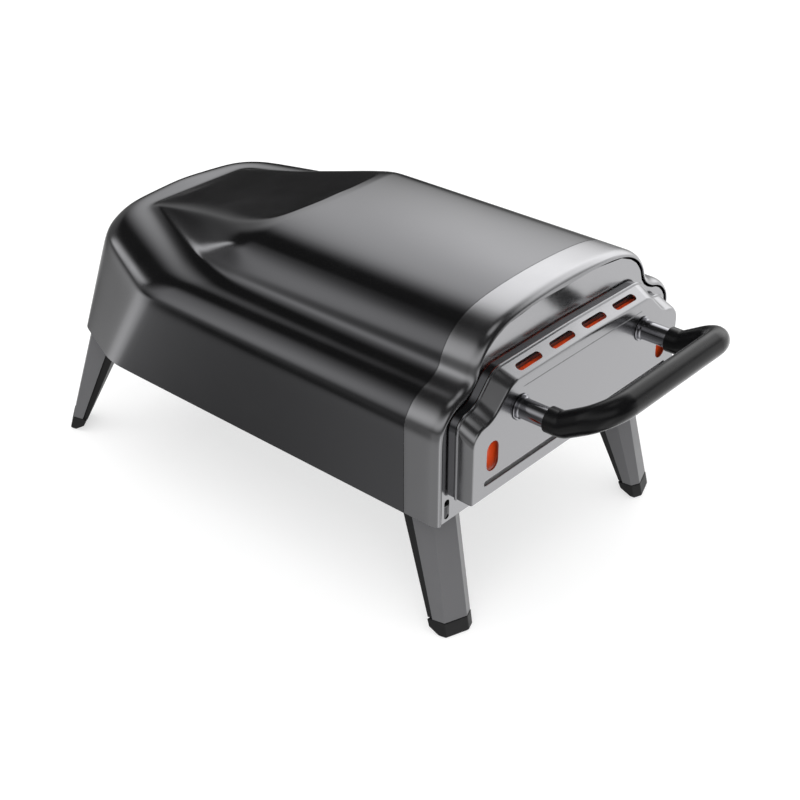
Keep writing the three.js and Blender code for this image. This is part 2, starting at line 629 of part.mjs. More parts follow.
function doorPan() {
  return cut(
    alongY(doorFront(PAN_INSET), PAN_DEPTH, PAN_REAR),
    alongY(doorFront(PAN_INSET + PAN_SHEET), PAN_DEPTH + PAN_SHEET, PAN_REAR + OVERRUN),
  );
}

function doorInsulation() {
  return alongY(doorFront(PAN_INSET + PAN_SHEET + FIT), PAN_DEPTH + PAN_SHEET + FIT, PAN_REAR - FIT);
}

function doorBack() {
  const plate = alongY(doorFront(DOOR_SHEET + FIT), PAN_REAR + FIT, DOOR_DEPTH);
  const plug = alongY(mouth(PLUG_CLEARANCE), DOOR_DEPTH - FIT, DOOR_DEPTH + PLUG_REACH);
  const hollow = alongY(mouth(PLUG_CLEARANCE + PAN_SHEET), DOOR_DEPTH, DOOR_DEPTH + PLUG_REACH + OVERRUN);
  const heel = rectangle(
    -MOUTH_HALF / 2, MOUTH_HALF / 2, MOUTH_SILL + FIT, MOUTH_SILL + PLUG_CLEARANCE + FIT);
  return union(plate, cut(plug, hollow), alongY(heel, DOOR_DEPTH, DOOR_DEPTH + PLUG_REACH));
}

// Handle: turned posts and a bent grip that slips over their spigots
const postOrigin = (side) => at((side * HANDLE_SPAN) / 2, 0, HANDLE_Z);
const FORWARD = Y.clone().negate();

function handlePost(side) {
  const diameters = [STUD_DIAMETER, POST_DIAMETER, POST_RING_DIAMETER, SPIGOT_DIAMETER];
  const [stud, post, ring, spigot] = diameters.map((diameter) => diameter / 2);
  const ringTop = FIT + POST_RING_HEIGHT;
  const soften = POST_RING_HEIGHT / 4;
  const studEnd = 2 * FIT - PAN_DEPTH;
  return turned([
    [0, studEnd], [stud, studEnd], [stud, FIT], [ring, FIT], [ring, ringTop - soften],
    [ring - soften, ringTop], [post, ringTop], [post, POST_LENGTH],
    [spigot, POST_LENGTH], [spigot, POST_LENGTH + GRIP_SOCKET - FIT], [0, POST_LENGTH + GRIP_SOCKET - FIT],
  ], postOrigin(side), FORWARD, 28);
}

function handleNut(side) {
  const origin = postOrigin(side);
  const bore = rod(STUD_DIAMETER + FIT, origin, origin.clone().setY(PAN_DEPTH + OVERRUN), 16);
  return cut(alongY(hexagon(origin.x, HANDLE_Z, NUT_ACROSS), DOOR_SHEET + FIT, PAN_DEPTH - FIT), bore);
}

function handleGrip() {
  const start = POST_LENGTH + FIT;
  const knee = new THREE.Vector2(start + GRIP_STRAIGHT, 0);
  const tip = new THREE.Vector2(GRIP_REACH, GRIP_RISE);
  const climb = tip.clone().sub(knee).normalize();
  const arm = rounded([[start, 0, 0], [knee.x, 0, GRIP_KNEE], [tip.x, tip.y, 0]], 3).slice(0, -1);
  const half = HANDLE_SPAN / 2;
  const centres = arm.map(({ x, y }) => ({ x: half, along: x, up: y }));
  const bendSteps = 8;
  for (let k = 0; k <= bendSteps; k += 1) {
    const angle = (k / bendSteps) * (Math.PI / 2);
    const back = GRIP_BEND * (1 - Math.sin(angle));
    centres.push({
      x: half - GRIP_BEND * (1 - Math.cos(angle)),
      along: tip.x - climb.x * back,
      up: tip.y - climb.y * back,
    });
  }
  const path = [...centres, ...centres.slice().reverse().map(({ x, along, up }) => ({ x: -x, along, up }))];
  const points = path.map(({ x, along, up }) => at(x, -along, HANDLE_Z + up));
  const tangents = points.map((point, i) => {
    const ahead = points[Math.min(points.length - 1, i + 1)];
    const behind = points[Math.max(0, i - 1)];
    return ahead.clone().sub(behind).normalize();
  });
  tangents[0].copy(FORWARD);
  tangents[tangents.length - 1].copy(Y);
  const sides = 20;
  const rings = points.map((point, i) => {
    const climbing = at(0, -climb.x, climb.y);
    const lift = new THREE.Vector3().crossVectors(climbing, X).multiplyScalar(-1);
    const across = new THREE.Vector3().crossVectors(tangents[i], lift).normalize();
    const over = new THREE.Vector3().crossVectors(across, tangents[i]).normalize();
    return Array.from({ length: sides }, (_, k) => {
      const turn = (k / sides) * 2 * Math.PI;
      return point.clone()
        .addScaledVector(across, (GRIP_DIAMETER / 2) * Math.cos(turn))
        .addScaledVector(over, (GRIP_DIAMETER / 2) * Math.sin(turn));
    });
  });
  const socket = (side) => rod(
    SPIGOT_DIAMETER + 2 * FIT, postOrigin(side).setY(-POST_LENGTH + OVERRUN),
    postOrigin(side).setY(-POST_LENGTH - GRIP_SOCKET), 20);
  return cut(loft(rings), socket(-1), socket(1));
}

// Front plate: pressed sheet with a neck around the mouth and two vent slots beside it
function frontPlate() {
  const edge = offset(bodySection, COLLAR_INSET + COLLAR_SHEET + PLATE_SHADOW_GAP, false);
  edge[0].y = SKIRT_Z + FIT;
  edge[edge.length - 1].y = SKIRT_Z + FIT;
  const slotX = DOOR_HALF + VENT_SLOT_MARGIN + VENT_SLOT_WIDTH / 2;
  const slotZ = SKIRT_Z + 2 * VENT_SLOT_MARGIN + VENT_SLOT_HEIGHT / 2 + FIT;
  const slot = (side) => alongY(pill(side * slotX, slotZ, VENT_SLOT_WIDTH, VENT_SLOT_HEIGHT), 0, SEAM_Y);
  const rear = PLATE_FRONT + PLATE_SHEET;
  return cut(
    union(alongY(edge, PLATE_FRONT, rear), alongY(doorRear(FIT), NECK_FRONT, rear)),
    alongY(mouth(), 0, SEAM_Y), slot(-1), slot(1),
  );
}

// Plan outline of the skirt walls at a height, moved inwards, and cut off square at the front
function skirtPlan(height, inset, front) {
  const [low, high] = [hoodRow(hoodRowShares[0]), hoodRow(hoodRowShares[1])];
  const side = low.map((p, i) => {
    const q = p.clone().lerp(high[i], (height - p.z) / (high[i].z - p.z));
    return new THREE.Vector2(q.x, q.y);
  });
  const loop = [...side, ...side.slice(0, -1).reverse().map((p) => new THREE.Vector2(-p.x, p.y))];
  const moved = offset(loop, THREE.ShapeUtils.isClockWise(loop) ? -inset : inset, false);
  moved[0].y = front;
  moved[moved.length - 1].y = front;
  return moved;
}

function basePan() {
  const front = COLLAR_FRONT + COLLAR_ROUND + FIT;
  const rim = PAN_FLOOR_Z + BASE_RIM;
  const outline = skirtPlan(rim, HOOD_SHEET + 2 * FIT, front);
  const inside = skirtPlan(rim, HOOD_SHEET + 2 * FIT + BASE_SHEET, front - OVERRUN);
  const floor = PAN_FLOOR_Z + BASE_SHEET;
  return cut(alongZ(outline, PAN_FLOOR_Z, rim), alongZ(inside, floor, rim + OVERRUN));
}

// Chamber: arched liner that stands on the base pan, with its blanket, rear wall and sill
const FLOOR = PAN_FLOOR_Z + BASE_SHEET;
const squareFooted = archOf([...mouthShares.slice(0, -1), [1, 0, 0]], MOUTH_HALF, MOUTH_SILL, MOUTH_TOP);
function archOutline(grow) {
  return squareFooted(-grow).map((p) => new THREE.Vector2(p.x, p.y < MOUTH_SILL + FIT ? FLOOR + FIT : p.y));
}
function archSheet(grow, sheet, front, rear) {
  const between = rectangle(-MOUTH_HALF - grow, MOUTH_HALF + grow, FLOOR - OVERRUN, MOUTH_SILL);
  return cut(
    alongY(archOutline(grow + sheet), front, rear),
    alongY(archOutline(grow), front - OVERRUN, rear + OVERRUN),
    alongY(between, front - OVERRUN, rear + OVERRUN),
  );
}
const LINER_FRONT = PLATE_FRONT + PLATE_SHEET + BASE_SHEET + 2 * FIT;
const chamberLiner = () => archSheet(FIT, LINER_SHEET, LINER_FRONT, LINER_REAR);
const blanket = () => archSheet(LINER_SHEET + 2 * FIT, BLANKET, BLANKET_FRONT, BLANKET_REAR);

function chamberRear() {
  const hole = rod(
    MIXER_DIAMETER + 4 * FIT, at(0, LINER_REAR - OVERRUN, BURNER_Z), at(0, LINER_REAR + OVERRUN, BURNER_Z));
  const front = LINER_REAR + FIT;
  return cut(alongY(archOutline(LINER_SHEET), front, front + LINER_SHEET), hole);
}

function pizzaStone() {
  const half = STONE_WIDTH / 2;
  const corner = STONE_THICKNESS;
  const outline = rounded([
    [-half, STONE_FRONT, corner], [half, STONE_FRONT, corner],
    [half, STONE_REAR, corner], [-half, STONE_REAR, corner],
  ], 4);
  return alongZ(outline, STONE_TOP - STONE_THICKNESS, STONE_TOP);
}

function stoneRail(side) {
  const [low, high] = [FLOOR + FIT, STONE_TOP - STONE_THICKNESS - FIT];
  const [left, right] = [side * RAIL_X - RAIL_WIDTH / 2, side * RAIL_X + RAIL_WIDTH / 2];
  const margin = STONE_THICKNESS;
  const [front, back] = [STONE_FRONT + margin, STONE_REAR - margin];
  const channel = [
    [left, low], [left + BASE_SHEET, low], [left + BASE_SHEET, high - BASE_SHEET],
    [right - BASE_SHEET, high - BASE_SHEET], [right - BASE_SHEET, low], [right, low],
    [right, high], [left, high],
  ].map(([x, z]) => new THREE.Vector2(x, z));
  return alongY(channel, front, back);
}

function sillPlate() {
  const half = MOUTH_HALF - LINER_SHEET;
  const [front, top] = [LINER_FRONT, MOUTH_SILL];
  const [low, inner] = [FLOOR + FIT, top - BASE_SHEET];
  const back = front + SILL_PLATE_DEPTH;
  const fold = [
    [front, low], [front + BASE_SHEET, low], [front + BASE_SHEET, inner], [back - BASE_SHEET, inner],
    [back - BASE_SHEET, low], [back, low], [back, top], [front, top],
  ].map(([y, z]) => new THREE.Vector2(y, z));
  return alongX(fold, -half, half);
}

// Burner: cross tube with a mixer tube and bell that faces the gas nozzle
function burnerTube() {
  const half = BURNER_LENGTH / 2;
  const cross = rod(BURNER_DIAMETER, at(-half, BURNER_Y, BURNER_Z), at(half, BURNER_Y, BURNER_Z), 20);
  const [tube, bell] = [MIXER_DIAMETER / 2, MIXER_BELL_DIAMETER / 2];
  const length = MIXER_END - BURNER_Y;
  const mixer = turned([
    [0, 0], [tube, 0], [tube, length - MIXER_BELL_LENGTH], [bell, length], [bell - LINER_SHEET, length],
    [tube - LINER_SHEET, length - MIXER_BELL_LENGTH], [tube - LINER_SHEET, length - 2 * MIXER_BELL_LENGTH],
    [0, length - 2 * MIXER_BELL_LENGTH],
  ], at(0, BURNER_Y, BURNER_Z), Y, 20);
  return union(cross, mixer);
}

function burnerSaddle(side) {
  const [x, width, low] = [side * SADDLE_X, SADDLE_WIDTH, FLOOR + FIT];
  const [front, back] = [BURNER_Y - width, BURNER_Y + width];
  const plate = rounded([
    [front, low, 0], [back, low, 0], [back, BURNER_Z, SADDLE_SHEET], [front, BURNER_Z, SADDLE_SHEET]], 3);
  const [start, end] = [at(x - width, BURNER_Y, BURNER_Z), at(x + width, BURNER_Y, BURNER_Z)];
  const [left, right] = side > 0 ? [x, x + width] : [x - width, x];
  const foot = box(left, right, front, back, low, low + SADDLE_SHEET);
  const web = alongX(plate, x - SADDLE_SHEET / 2, x + SADDLE_SHEET / 2);
  return cut(union(web, foot), rod(BURNER_DIAMETER + 2 * FIT, start, end));
}

function flameGuard() {
  const [low, high] = [FLOOR + FIT, FLOOR + FIT + GUARD_HEIGHT];
  const half = GUARD_WIDTH / 2;
  const fold = [
    [GUARD_Y, low], [GUARD_Y + GUARD_FOOT, low], [GUARD_Y + GUARD_FOOT, low + GUARD_SHEET],
    [GUARD_Y + GUARD_SHEET, low + GUARD_SHEET], [GUARD_Y + GUARD_SHEET, high], [GUARD_Y, high],
  ].map(([y, z]) => new THREE.Vector2(y, z));
  const slots = Array.from({ length: GUARD_SLOTS }, (_, i) => {
    const x = ((i + 0.5) / GUARD_SLOTS - 0.5) * GUARD_WIDTH;
    const outline = pill(x, (low + high) / 2 + GUARD_SHEET, GUARD_SLOT_WIDTH, GUARD_HEIGHT / 2);
    return alongY(outline, GUARD_Y - OVERRUN, GUARD_Y + GUARD_SHEET + FIT);
  });
  return cut(alongX(fold, -half, half), ...slots);
}

function igniterElectrode() {
  const radius = ELECTRODE_DIAMETER / 2;
  const low = FLOOR + FIT;
  const x = BURNER_LENGTH / 4 - SADDLE_WIDTH;
  const y = BURNER_Y - BURNER_DIAMETER / 2 - ELECTRODE_DIAMETER;
  return turned([
    [0, 0], [radius * 2, 0], [radius * 2, radius], [radius, radius], [radius, ELECTRODE_LENGTH * 0.7],
    [radius / 3, ELECTRODE_LENGTH * 0.7], [radius / 3, ELECTRODE_LENGTH], [0, ELECTRODE_LENGTH],
  ], at(x, y, low), Z, 16);
}

// Gas train: valve on its bracket, inlet pipe, and the stem and knob outside the rear wall
function gasValve() {
  const [w, h] = [VALVE_WIDTH / 2, VALVE_HEIGHT / 2];
  const corners = rectangle(-w, w, BURNER_Z - h, BURNER_Z + h).map(({ x, y }) => [x, y, w / 4]);
  const block = alongY(rounded(corners, 3), VALVE_FRONT, VALVE_REAR);
  const axis = (y) => at(0, y, BURNER_Z);
  const nozzle = rod(NOZZLE_DIAMETER, axis(VALVE_FRONT - NOZZLE_REACH), axis(VALVE_FRONT + FIT), 16);
  const seat = rod(STEM_DIAMETER + FIT * 2, axis(VALVE_REAR - STEM_SEAT), axis(VALVE_REAR + OVERRUN));
  return cut(union(block, nozzle), seat);
}

function valveBracket() {
  const top = BURNER_Z - VALVE_HEIGHT / 2 - FIT;
  const [front, back] = [VALVE_FRONT + 2 * VALVE_BRACKET_SHEET, VALVE_REAR - 2 * VALVE_BRACKET_SHEET];
  const [low, sheet] = [FLOOR + FIT, VALVE_BRACKET_SHEET];
  const fold = [
    [front, low], [front + sheet, low], [front + sheet, top - sheet], [back - sheet, top - sheet],
    [back - sheet, low], [back, low], [back, top], [front, top],
  ].map(([y, z]) => new THREE.Vector2(y, z));
  return alongX(fold, -VALVE_WIDTH / 2, VALVE_WIDTH / 2);
}

const valveStem = () =>
  rod(STEM_DIAMETER, at(0, VALVE_REAR - STEM_SEAT + FIT, BURNER_Z), at(0, STEM_END, BURNER_Z));

function controlKnob() {
  const radius = KNOB_DIAMETER / 2;
  const steps = KNOB_LOBES * 4;
  const rim = (trim) => Array.from({ length: steps }, (_, i) => {
    const angle = (i / steps) * 2 * Math.PI;
    const r = radius - trim - (KNOB_LOBE_DEPTH * (1 - Math.cos(angle * KNOB_LOBES))) / 2;
    return new THREE.Vector2(r * Math.cos(angle), BURNER_Z + r * Math.sin(angle));
  });
  const soften = KNOB_DEPTH / 8;
  const face = KNOB_FRONT + KNOB_DEPTH;
  const body = loft([
    ringAt(rim(soften / 2), KNOB_FRONT), ringAt(rim(0), KNOB_FRONT + soften / 2),
    ringAt(rim(soften / 2), face - soften), ringAt(rim(soften * 1.5), face),
  ]);
  const pointer = box(
    -soften / 2, soften / 2, face - soften, face + soften / 4,
    BURNER_Z + radius / 3, BURNER_Z + radius - soften * 2);
  const boreEnd = at(0, STEM_END + FIT, BURNER_Z);
  const bore = rod(STEM_DIAMETER + FIT * 2, at(0, KNOB_FRONT - OVERRUN, BURNER_Z), boreEnd);
  return cut(union(body, pointer), bore);
}

function gasInlet() {
  const radius = INLET_PIPE / 2;
  const middle = (VALVE_FRONT + VALVE_REAR) / 2;
  const bendSteps = 6;
  const stations = [{ x: VALVE_WIDTH / 2 + FIT, y: middle, angle: 0 }];
  for (let k = 0; k <= bendSteps; k += 1) {
    const angle = (k / bendSteps) * (Math.PI / 2);
    stations.push({
      x: INLET_X - INLET_BEND + INLET_BEND * Math.sin(angle),
      y: middle + INLET_BEND - INLET_BEND * Math.cos(angle), angle,
    });
  }
  stations.push({ x: INLET_X, y: INLET_END, angle: Math.PI / 2 });
  const sides = 14;
  const pipe = loft(stations.map(({ x, y, angle }) => Array.from({ length: sides }, (_, i) => {
    const turn = (i / sides) * 2 * Math.PI;
    const aside = radius * Math.cos(turn);
    return at(x - aside * Math.sin(angle), y + aside * Math.cos(angle), BURNER_Z + radius * Math.sin(turn));
  })));
  const nutStart = rearWallY(BURNER_Z - INLET_NUT_ACROSS) + FIT;
  const nut = alongY(hexagon(INLET_X, BURNER_Z, INLET_NUT_ACROSS), nutStart, nutStart + INLET_NUT_LENGTH);
  const mouthEnd = at(INLET_X, INLET_END + OVERRUN, BURNER_Z);
  const bore = rod(radius, at(INLET_X, INLET_END - INLET_NUT_LENGTH, BURNER_Z), mouthEnd, 12);
  return cut(union(pipe, nut), bore);
}

// Legs: folded cover over a nylon core, with a shoe, that swing on a pin below the base pan.
// One leg is drawn with its pin at X = 0, Y = 0; +X is outwards and its open side faces +Y.
// Section corners as shares of the width (from the outside in) and depth (from the front back).
const hipSectionShares = [[0, 1], [0.07, 0.24], [0.55, 0], [0.90, 0.27], [1, 0.92]];
const ankleSectionShares = [[0, 1], [0.08, 0.44], [0.70, 0], [0.94, 0.18], [0.97, 0.62]];

function legSection(stance, z, inset, proud) {
  const share = z / LEG_TOP;
  const mix = (low, top) => THREE.MathUtils.lerp(low, top, share);
  const [out, front] = [HIP_OUT + mix(stance.splay, 0), -HIP_BACK - mix(stance.lean, 0)];
  const outline = hipSectionShares.map(([across, back], i) => new THREE.Vector2(
    out - mix(ankleSectionShares[i][0] * ANKLE_WIDTH, across * HIP_WIDTH),
    front + mix(ankleSectionShares[i][1] * ANKLE_DEPTH, back * HIP_DEPTH)));
  return extended(offset(outline, -inset, false), proud * mix(CORE_PROUD_LOW, CORE_PROUD_TOP));
}
const raise = (outline, z) => outline.map((p) => at(p.x, p.y, z));

// Open outline with both end segments made longer along their own lines
function extended(points, reach) {
  const last = points.length - 1;
  [[0, 1], [last, last - 1]].forEach(([end, inner]) => {
    const step = points[end].clone().sub(points[inner]).setLength(1);
    points[end].addScaledVector(step, reach);
  });
  return points;
}
const legLevels = (low, high) => [low, (SHOE_TOP + LEG_TOP) / 2, high];

function legCover(stance) {
  const body = (low, high, inset, proud) =>
    loft(legLevels(low, high).map((z) => raise(legSection(stance, z, inset, proud), z)));
  return cut(body(SHOE_TOP, LEG_TOP, 0, 0), body(SHOE_TOP - OVERRUN, LEG_TOP + OVERRUN, LEG_SHEET, 1));
}

function legCore(stance) {
  const inset = LEG_SHEET + FIT;
  const rings = legLevels(SHOE_TOP + FIT, LEG_TOP).map((z) => raise(legSection(stance, z, inset, 1), z));
  const [width, reach] = [TONGUE_THICKNESS / 2 + FIT, TONGUE_RADIUS + FIT];
  const slot = box(-width, width, -reach, HIP_BACK, PIN_Z - reach, LEG_TOP + OVERRUN);
  return cut(loft(rings), slot, pinRod(PIN_DIAMETER + 2 * FIT));
}

function legShoe(stance) {
  const ring = (z, inset, pull) => raise(extended(legSection(stance, z, inset, 1), -pull), z);
  return loft([
    ring(0, SHOE_BEVEL - SHOE_LIP, 2 * SHOE_CHAMFER), ring(SHOE_BEVEL, -SHOE_LIP, 1.5 * SHOE_CHAMFER),
    ring(SHOE_TOP / 2, -SHOE_LIP, 0), ring(SHOE_TOP - FIT, -SHOE_LIP, 0),
  ]);
}

const pinRod = (diameter) => rod(diameter, at(-PIN_LENGTH / 2, 0, PIN_Z), at(PIN_LENGTH / 2, 0, PIN_Z));
const legPin = () => pinRod(PIN_DIAMETER);

function legBracket() {
  const [half, top] = [BRACKET_PLATE / 2, PAN_FLOOR_Z - FIT];
  const plate = box(-half, half, -half / 2, half / 2, top - BRACKET_SHEET, top);
  const [foot, curve] = [PIN_Z - TONGUE_RADIUS, TONGUE_RADIUS - FIT / 2];
  const tongue = rounded([
    [-TONGUE_RADIUS, foot, curve], [TONGUE_RADIUS, foot, curve],
    [TONGUE_RADIUS, top - FIT, 0], [-TONGUE_RADIUS, top - FIT, 0],
  ], 6);
  const solid = union(plate, alongX(tongue, -TONGUE_THICKNESS / 2, TONGUE_THICKNESS / 2));
  return cut(solid, pinRod(PIN_DIAMETER + 2 * FIT));
}

// Assembly
const oven = new THREE.Group();
function add(name, solid, material) {
  const mesh = new THREE.Mesh(geometryOf(solid), material());
  mesh.name = name;
  oven.add(mesh);
  return mesh;
}

add('hood_shell', hoodShell(), finishes.hood);
add('front_collar', frontCollar(), finishes.satin);
add('front_plate', frontPlate(), finishes.satin);
add('base_pan', basePan(), finishes.galvanised);
add('chamber_liner', chamberLiner(), finishes.galvanised);
add('chamber_rear_wall', chamberRear(), finishes.galvanised);
add('insulation_blanket', blanket(), finishes.fibre);
add('sill_plate', sillPlate(), finishes.galvanised);
add('pizza_stone', pizzaStone(), finishes.stone);
add('burner_tube', burnerTube(), finishes.galvanised);
add('flame_guard', flameGuard(), finishes.galvanised);
add('igniter_electrode', igniterElectrode(), finishes.ceramic);
add('gas_valve', gasValve(), finishes.brass);
add('valve_bracket', valveBracket(), finishes.galvanised);
add('gas_inlet', gasInlet(), finishes.brass);
add('valve_stem', valveStem(), finishes.brass);
add('control_knob', controlKnob(), finishes.grip);
add('door_shell', doorShell(), finishes.satin);
add('door_pan', doorPan(), finishes.orange);
add('door_insulation', doorInsulation(), finishes.fibre);
add('door_back', doorBack(), finishes.galvanised);
add('handle_grip', handleGrip(), finishes.grip);

const sides = [{ name: 'left', side: -1 }, { name: 'right', side: 1 }];
sides.forEach(({ name, side }) => {
  add(`stone_rail_${name}`, stoneRail(side), finishes.galvanised);
  add(`burner_saddle_${name}`, burnerSaddle(side), finishes.galvanised);
  add(`handle_post_${name}`, handlePost(side), finishes.polished);
  add(`handle_nut_${name}`, handleNut(side), finishes.galvanised);
});

// Legs of a row are mirror images, set on a swing axis that is square to their lean
const legPieces = [
  ['leg_cover', legCover, finishes.legPaint], ['leg_core', legCore, finishes.blackNylon],
  ['leg_shoe', legShoe, finishes.rubber], ['leg_pin', legPin, finishes.polished],
  ['leg_bracket', legBracket, finishes.galvanised],
];
const rows = [{ end: 1, row: 'front', place: FRONT_LEG }, { end: -1, row: 'rear', place: REAR_LEG }];
rows.forEach(({ end, row, place }) => sides.forEach(({ name, side }) => {
  legPieces.forEach(([piece, make, material]) => {
    const mesh = add(`${piece}_${row}_${name}`, make(place), material);
    mesh.geometry.scale(side, end, 1);
    if (side * end < 0) turnedInsideOut(mesh.geometry);
    mesh.position.set(side * place.x, place.y, 0);
    mesh.rotation.z = -side * THREE.MathUtils.degToRad(place.yaw);
  });
}));

// The origin is on the floor at the middle of the bounding box
const bounds = new THREE.Box3().setFromObject(oven, true);
oven.position.set(0, -(bounds.min.y + bounds.max.y) / 2, -bounds.min.z);

export default oven;
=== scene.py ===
"""Portable gas pizza oven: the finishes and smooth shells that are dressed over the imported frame."""

import json
import math

import bmesh
import bpy
from bpy.props import FloatProperty, FloatVectorProperty, IntProperty, PointerProperty
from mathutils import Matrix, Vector


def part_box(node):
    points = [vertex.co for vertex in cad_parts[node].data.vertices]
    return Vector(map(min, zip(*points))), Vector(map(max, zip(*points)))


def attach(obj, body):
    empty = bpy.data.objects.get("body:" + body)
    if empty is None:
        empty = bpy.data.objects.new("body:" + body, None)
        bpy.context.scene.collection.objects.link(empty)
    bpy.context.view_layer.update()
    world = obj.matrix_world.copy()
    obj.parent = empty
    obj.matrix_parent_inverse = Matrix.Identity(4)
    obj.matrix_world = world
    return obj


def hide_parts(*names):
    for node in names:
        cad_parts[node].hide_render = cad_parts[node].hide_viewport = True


bl_info = {
    "name": "Portable pizza oven",
    "version": (1, 0, 0),
    "blender": (4, 5, 0),
    "location": "3D View > Sidebar > Oven",
    "description": "Builds a portable gas pizza oven piece by piece",
    "category": "Object",
}

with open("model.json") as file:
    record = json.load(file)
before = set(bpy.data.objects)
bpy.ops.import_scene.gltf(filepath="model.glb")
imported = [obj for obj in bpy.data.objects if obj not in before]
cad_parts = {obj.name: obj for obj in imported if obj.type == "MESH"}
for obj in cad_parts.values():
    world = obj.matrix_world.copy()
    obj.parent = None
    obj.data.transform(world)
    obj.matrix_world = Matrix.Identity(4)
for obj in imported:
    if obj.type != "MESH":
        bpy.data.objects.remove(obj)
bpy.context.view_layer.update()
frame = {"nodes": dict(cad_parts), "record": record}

MM = 0.001
MERGE = 0.02 * MM
FLAT = math.radians(0.6)
SIDES = ("left", "right")
CORNERS = [(row, side) for row in ("front", "rear") for side in SIDES]

# Sizes read from the frame
HOOD_LOW, HOOD_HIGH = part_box("hood_shell")
COLLAR_LOW, COLLAR_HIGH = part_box("front_collar")
DOOR_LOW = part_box("door_shell")[0]
HALF_WIDTH = HOOD_HIGH.x
SKIRT_Z = HOOD_LOW.z
BODY_HEIGHT = HOOD_HIGH.z - HOOD_LOW.z
SEAM_Y = HOOD_LOW.y
HOOD_LENGTH = HOOD_HIGH.y - HOOD_LOW.y
DOOR_Y = DOOR_LOW.y


def linear(code):
    """An sRGB hex colour as linear red, green and blue."""
    parts = [int(code[i:i + 2], 16) / 255 for i in (1, 3, 5)]
    return [p / 12.92 if p <= 0.04045 else ((p + 0.055) / 1.055) ** 2.4 for p in parts]


# Properties
def length_property(label, description, default):
    """A length setting, held in metres."""
    return FloatProperty(
        name=label, description=description, default=default, min=0.0, max=100 * MM, unit="LENGTH",
        precision=4)


def colour_property(label, description, code):
    """A colour setting, given as sRGB hex."""
    return FloatVectorProperty(
        name=label, description=description, default=linear(code), subtype="COLOR", min=0.0, max=1.0)


class OvenSizes(bpy.types.PropertyGroup):
    """Sizes of what is added to the frame."""

    hood_sheet: length_property("Hood sheet", "Thickness of the pressed hood and collar", 2.0 * MM)
    collar_round: length_property("Collar round", "Depth of the rolled front edge of the collar", 12.0 * MM)
    collar_inset: length_property("Collar inset", "How far the rolled edge turns inwards", 6.5 * MM)
    sheet_edge: length_property("Sheet edge", "Softened edge of cut sheet metal", 0.35 * MM)
    press_edge: length_property("Pressed edge", "Softened edge of folded and pressed sheet", 0.8 * MM)
    moulded_edge: length_property("Moulded edge", "Softened edge of moulded plastic and rubber", 0.9 * MM)
    grip_lip: length_property("Grip lip", "Rounding at the open ends of the grip", 2.2 * MM)
    smoothness: IntProperty(
        name="Smoothness", description="Subdivision levels of the pressed shells", default=2, min=1, max=3)


class OvenColours(bpy.types.PropertyGroup):
    """Colours of the finishes."""

    hood: colour_property("Hood", "Charcoal powder coat", "#626264")
    steel: colour_property("Steel", "Satin stainless sheet", "#9a9a9c")
    polished: colour_property("Polished steel", "Turned handle posts", "#98989c")
    galvanised: colour_property("Galvanised sheet", "Inner sheet metal", "#8f9293")
    enamel: colour_property("Orange enamel", "Pan behind the slots of the door", "#fb5420")
    plate: colour_property("Plate", "Fine-ground stainless plate behind the door", "#9e9ea0")
    legs: colour_property("Legs", "Grey powder coat", "#707072")
    nylon: colour_property("Nylon", "Leg cores", "#141415")
    rubber: colour_property("Rubber", "Shoes of the legs", "#161617")
    grip: colour_property("Grip", "Black grip and knob", "#0d0d0e")
    stone: colour_property("Stone", "Cordierite baking stone", "#c9b79c")
    fibre: colour_property("Fibre", "Ceramic fibre blanket", "#e6e2d8")
    ceramic: colour_property("Ceramic", "Glazed electrode", "#ece8df")
    brass: colour_property("Brass", "Gas fittings", "#b08d45")


# Materials. First come the real sizes that their patterns follow, with how far each is drawn out along
# an axis and how fine its detail is.
PAINT_CLOUD = 60 * MM
ORANGE_PEEL = 0.9 * MM
ORANGE_PEEL_DEPTH = 0.02 * MM
STEEL_CLOUD = 45 * MM
SCRATCH_PITCH = 0.45 * MM
SCRATCH_DEPTH = 0.01 * MM
SCRATCH_STRETCH = (60, 1, 1)
SCRATCH_DETAIL = 4.0
POLISH_SMEAR = 14 * MM
TURNING_PITCH = 0.5 * MM
TURNING_DEPTH = 0.01 * MM
TURNING_STRETCH = (40, 1, 40)
SPANGLE = 7 * MM
ENAMEL_POOL = 12 * MM
ENAMEL_POOL_DEPTH = 0.05 * MM
BARE_MARGIN = 25 * MM
SPARK_TEXTURE = 0.7 * MM
GRIP_TEXTURE = 0.5 * MM
SPARK_DEPTH = 0.03 * MM
HANDLING_WEAR = 25 * MM
STONE_CLOUD = 30 * MM
GROG = 2.4 * MM
SAND = 1.6 * MM
SAND_DEPTH = 0.15 * MM
WOOL = 3 * MM
WOOL_DEPTH = 0.6 * MM
WOOL_STRETCH = (3, 1, 1)
WOOL_DETAIL = 6.0
GLAZE_CLOUD = 9 * MM
BRASS_CLOUD = 10 * MM

# Colours of details that have no setting of their own
WHITE = (1, 1, 1, 1)
# Bare steel along the foot of the door pan: a real bare strip, drawn paler than the steel is so that it
# shows in the shade of the low slot, which is painted light.
BARE_STEEL_AND_PAINTED_LIGHT = "#cfcfd1"
GROG_SHADE = -0.55

# How noise is made, the part of its values that a range is spread over, and the sockets of a colour mix
NOISE_DETAIL = 3.0
NOISE_ROUGHNESS = 0.55
NOISE_SPAN = {"From Min": 0.3, "From Max": 0.7}
COLOUR_A, COLOUR_B, COLOUR_OUT = 6, 7, 2


def add_node(tree, kind, settings=None, values=None):
    """Adds a node with its settings; each value is a number or the socket that feeds the input."""
    node = tree.nodes.new(kind)
    for key, value in (settings or {}).items():
        setattr(node, key, value)
    for key, value in (values or {}).items():
        socket = node.inputs[key]
        if isinstance(value, bpy.types.NodeSocket):
            tree.links.new(value, socket)
        else:
            socket.default_value = value
    return node


